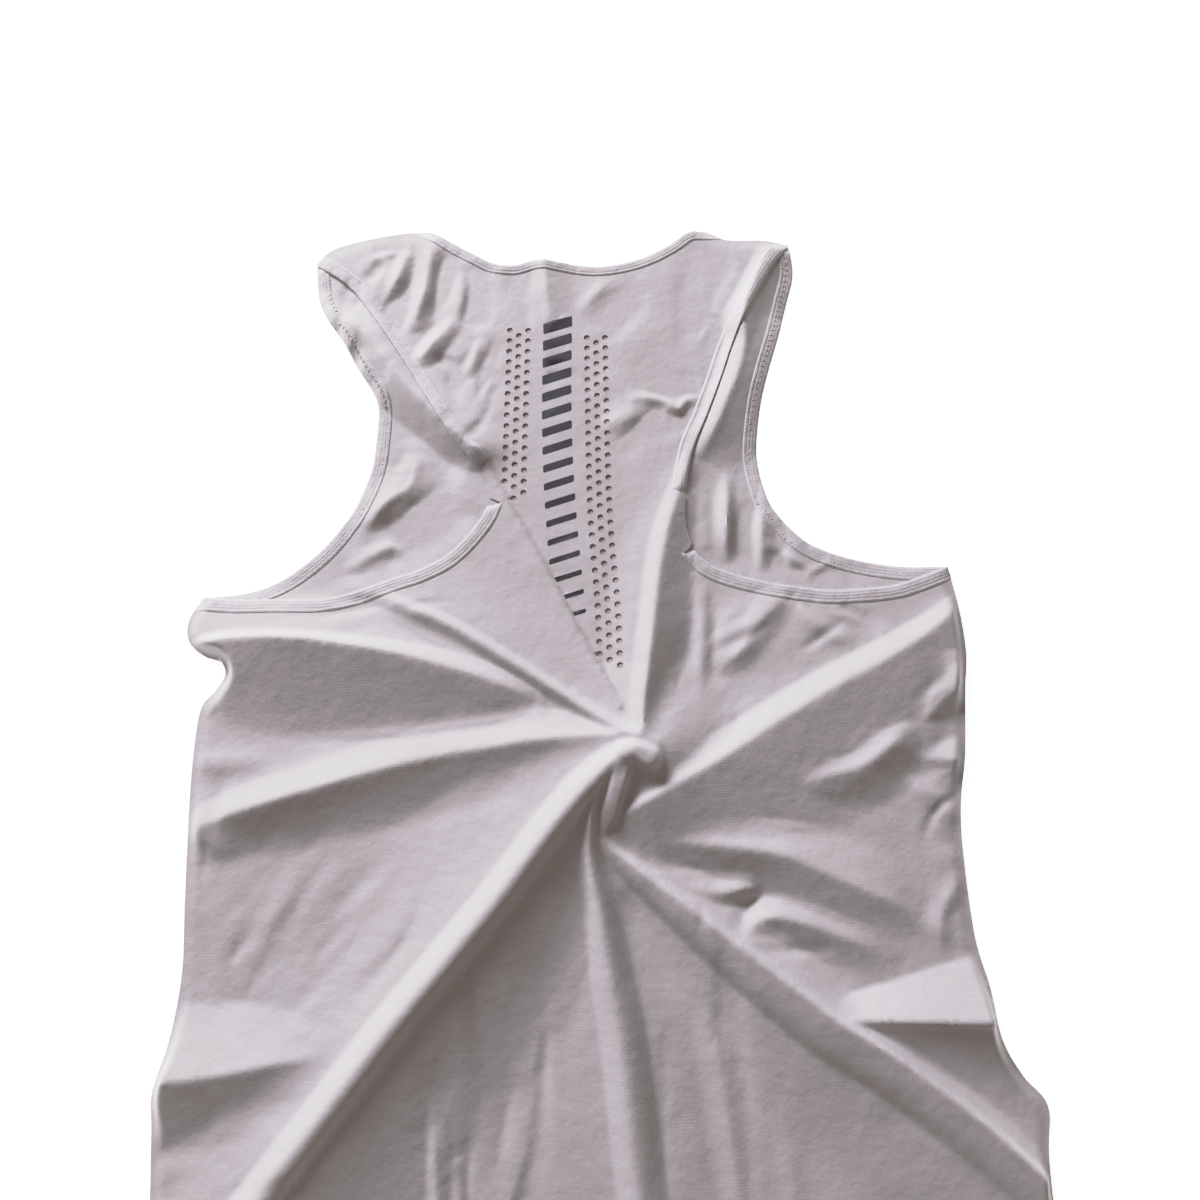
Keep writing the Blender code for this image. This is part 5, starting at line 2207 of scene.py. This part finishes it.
@dataclass
class Sewing:
    """Every visible row of stitches on the garment.

    A row on a tape lies at on_top of its depth, and every row is sunk in by sink.
    """

    back: Bindings
    front: Bindings
    back_top: Surface
    inset: float = 1.7
    cover_width: float = 2.2
    on_top: float = 0.95
    sink: float = 0.05
    rail_inset: float = 0.9
    ladder_width: float = 4.6
    ladder_slant: float = 1.05
    hem_rows: Pair = (16.0, 19.0)

    def on_tape(self, bindings: Bindings, edge: Edge, inset: float) -> Array:
        """A line on a binding, a distance inside its inner edge, in the round."""
        plan = bindings.outline.beside(edge.name, edge.binding - inset)
        return np.column_stack([plan, bindings.height_at(plan, self.on_top) - self.sink])

    def on_back(self, name: str, distance: float) -> Array:
        """A line on the back panel beside one of its edges."""
        plan = self.back.outline.beside(name, distance)
        return np.column_stack([plan, self.back_top(plan) - self.sink])

    def rows(self) -> list[StitchRow]:
        """The rows of stitches.

        Returns:
            The back bindings' row, the neck's second row, the front armholes' rails and the
            ladder between them, and the hem's double row.
        """
        neck = next(edge for edge in self.back.bound() if edge.name == "neck")
        armholes = [edge for edge in self.front.bound() if edge.name != "neck"]
        middle = self.rail_inset + self.ladder_width / 2
        rails = (self.rail_inset, self.rail_inset + self.ladder_width)
        return [
            StitchRow(
                "stitches_back_binding",
                tuple(self.on_tape(self.back, edge, self.inset) for edge in self.back.bound()),
                pitch=2.7, length=2.0, thickness=0.34, slant=0.05,
            ),
            StitchRow(
                "stitches_back_neck_cover",
                (self.on_tape(self.back, neck, self.inset + self.cover_width),),
                pitch=2.3, length=2.0, thickness=0.34, slant=0.3,
            ),
            StitchRow(
                "stitches_front_rails",
                tuple(self.on_tape(self.front, edge, rail) for edge in armholes for rail in rails),
                pitch=2.5, length=2.4, thickness=0.6,
            ),
            StitchRow(
                "stitches_front_ladder",
                tuple(self.on_tape(self.front, edge, middle) for edge in armholes),
                pitch=2.2,
                length=self.ladder_width / math.sin(self.ladder_slant),
                thickness=0.85,
                slant=self.ladder_slant,
            ),
            StitchRow(
                "stitches_hem",
                tuple(self.on_back("hem", distance) for distance in self.hem_rows),
                pitch=3.0, length=2.4, thickness=0.4,
            ),
        ]

    def build(self, wardrobe: Wardrobe) -> dict[str, bpy.types.Object]:
        """Sews every row."""
        tree = StitchTree()
        return {row.name: row.build(tree, wardrobe) for row in self.rows()}


# --------------------------------------
# The garment


@dataclass
class Singlet:
    """The whole garment, and the cut of its cloth."""

    drape: Drape = field(default_factory=Drape)
    cut: Pair = (0.54, 0.705)
    area_step: float = 9.0

    def flat_area(self, edges: tuple[Edge, ...]) -> float:
        """The area inside a panel's outline, in square metres."""
        loop = Outline(edges, self.area_step).cloth_loop(ARMHOLE_BINDING)
        x, y = loop.T
        return abs(float(x @ np.roll(y, -1) - y @ np.roll(x, -1))) / 2 * MM * MM

    def build(self) -> None:
        """Makes every piece, and works out the flat area of each panel."""
        wardrobe = Wardrobe()
        drape = self.drape
        front_outline = Outline(FRONT_EDGES)
        back_outline = Outline(BACK_EDGES, folds_over=True)
        front_cloth = FrontPanel(
            "front_cloth",
            "front_panel",
            front_outline,
            (drape.front,),
            drape.front_raised,
            grid=2.4,
        )
        back_cloth = BackPanel(
            "back_cloth",
            "back_panel",
            back_outline,
            (drape.back, drape.front),
            drape.back_underside,
            thickness=drape.back_cloth,
        )
        front = front_cloth.build(wardrobe)
        back = back_cloth.build(wardrobe)
        front_tapes = Bindings(
            Layer.FRONT, front_outline, drape.front_raised, drape.seam_ease, rise=0.4
        )
        back_tapes = Bindings(
            Layer.BACK,
            back_outline,
            drape.back_underside,
            drape.seam_ease,
            rise=0.45,
            folds_over=True,
        )
        front_bound = front_tapes.build(wardrobe)
        back_bound = back_tapes.build(wardrobe)
        sewn = Sewing(back_tapes, front_tapes, back_cloth.top).build(wardrobe)
        self.flat_area(FRONT_EDGES)
        self.flat_area(BACK_EDGES)


# --------------------------------------
# The studio

# The curve of a curve mapping that holds for all three colour channels.
ALL_CHANNELS = 3


@dataclass(frozen=True)
class SoftLight:
    """A large soft light that is aimed at the middle of the table."""

    name: str
    place: Triple
    size: Pair
    power: float
    colour: Triple

    def build(self) -> None:
        """Hangs the light."""
        light = bpy.data.lights.new(self.name, "AREA")
        light.shape = "RECTANGLE"
        light.size, light.size_y = self.size
        light.energy = self.power
        light.color = self.colour
        lamp = in_scene(self.name, light)
        lamp.location = self.place
        lamp.rotation_euler = (-Vector(self.place)).to_track_quat("-Z", "Y").to_euler()


@dataclass(frozen=True)
class Studio:
    """The table, the lights and the camera.

    offset is how far right of and below the middle of the picture the garment's origin lies, on
    the table, and tones says how brightly each brightness of the scene is shown.
    """

    tilt: float = math.radians(15.0)
    roll: float = math.radians(2.6)
    height: float = 0.6214
    offset: Pair = (-0.0112603, -0.0634011)
    focal_length: float = 28.8
    sensor: float = 36.0
    table_size: float = 6.0
    table_colour: Triple = (0.93, 0.93, 0.93)
    table_roughness: float = 0.9
    table_glow: float = 1.7
    fill_colour: Triple = (1.0, 0.785, 0.685)
    fill: float = 0.19
    brightest: float = 2.0
    tones: Row = (
        (0.18, 0.18), (0.27, 0.245), (0.35, 0.322), (0.44, 0.415), (0.54, 0.515), (0.66, 0.63),
        (0.9, 0.745), (1.2, 0.825), (1.6, 0.915),
    )
    key: SoftLight = SoftLight("key", (-1.2, 2.2, 1.06), (1.4, 0.6), 126.0, (0.925, 0.893, 0.99))

    def build_camera(self) -> None:
        """Sets the camera above the garment, tilted a little towards its neck."""
        data = bpy.data.cameras.new("camera")
        data.sensor_width = self.sensor
        data.lens = self.focal_length
        camera = in_scene("camera", data)
        ground = Vector((-self.offset[0], -self.height * math.tan(self.tilt) - self.offset[1], 0))
        turn = Matrix.Rotation(-self.roll, 4, "Z")
        place = turn @ ground + Vector((0, 0, self.height))
        tip = Matrix.Rotation(self.tilt, 4, "X")
        camera.matrix_world = Matrix.Translation(place) @ turn @ tip
        bpy.context.scene.camera = camera

    def build_table(self) -> None:
        """Lays the pale table top."""
        bpy.ops.mesh.primitive_plane_add(size=self.table_size)
        table = bpy.context.object
        table.name = "table_top"
        material = bpy.data.materials.new("table_top")
        material.use_nodes = True
        shader = material.node_tree.nodes["Principled BSDF"]
        shader.inputs["Base Color"].default_value = (*self.table_colour, 1.0)
        shader.inputs["Roughness"].default_value = self.table_roughness
        shader.inputs["Emission Color"].default_value = (1.0, 1.0, 1.0, 1.0)
        shader.inputs["Emission Strength"].default_value = self.table_glow
        table.data.materials.append(material)

    def build_fill(self) -> None:
        """Fills the shadows with weak warm light from all round."""
        world = bpy.data.worlds.new("studio")
        world.use_nodes = True
        background = world.node_tree.nodes["Background"]
        background.inputs["Color"].default_value = (*self.fill_colour, 1.0)
        background.inputs["Strength"].default_value = self.fill
        bpy.context.scene.world = world

    def build_tones(self) -> None:
        """Rolls the light tones off softly, so that the white cloth keeps its folds."""
        view = bpy.context.scene.view_settings
        view.view_transform = "Standard"
        view.use_curve_mapping = True
        mapping = view.curve_mapping
        mapping.white_level = (self.brightest,) * 3
        curve = mapping.curves[ALL_CHANNELS]
        for given, shown in self.tones:
            curve.points.new(given / self.brightest, shown)
        mapping.update()

    def build(self) -> None:
        """Sets up the whole studio."""
        self.build_camera()
        self.build_table()
        self.build_fill()
        self.key.build()
        self.build_tones()


def main() -> None:
    """Builds the studio and the garment."""
    logging.basicConfig(level=logging.INFO, format="%(message)s")
    Studio().build()
    Singlet().build()


if __name__ == "__main__":
    main()
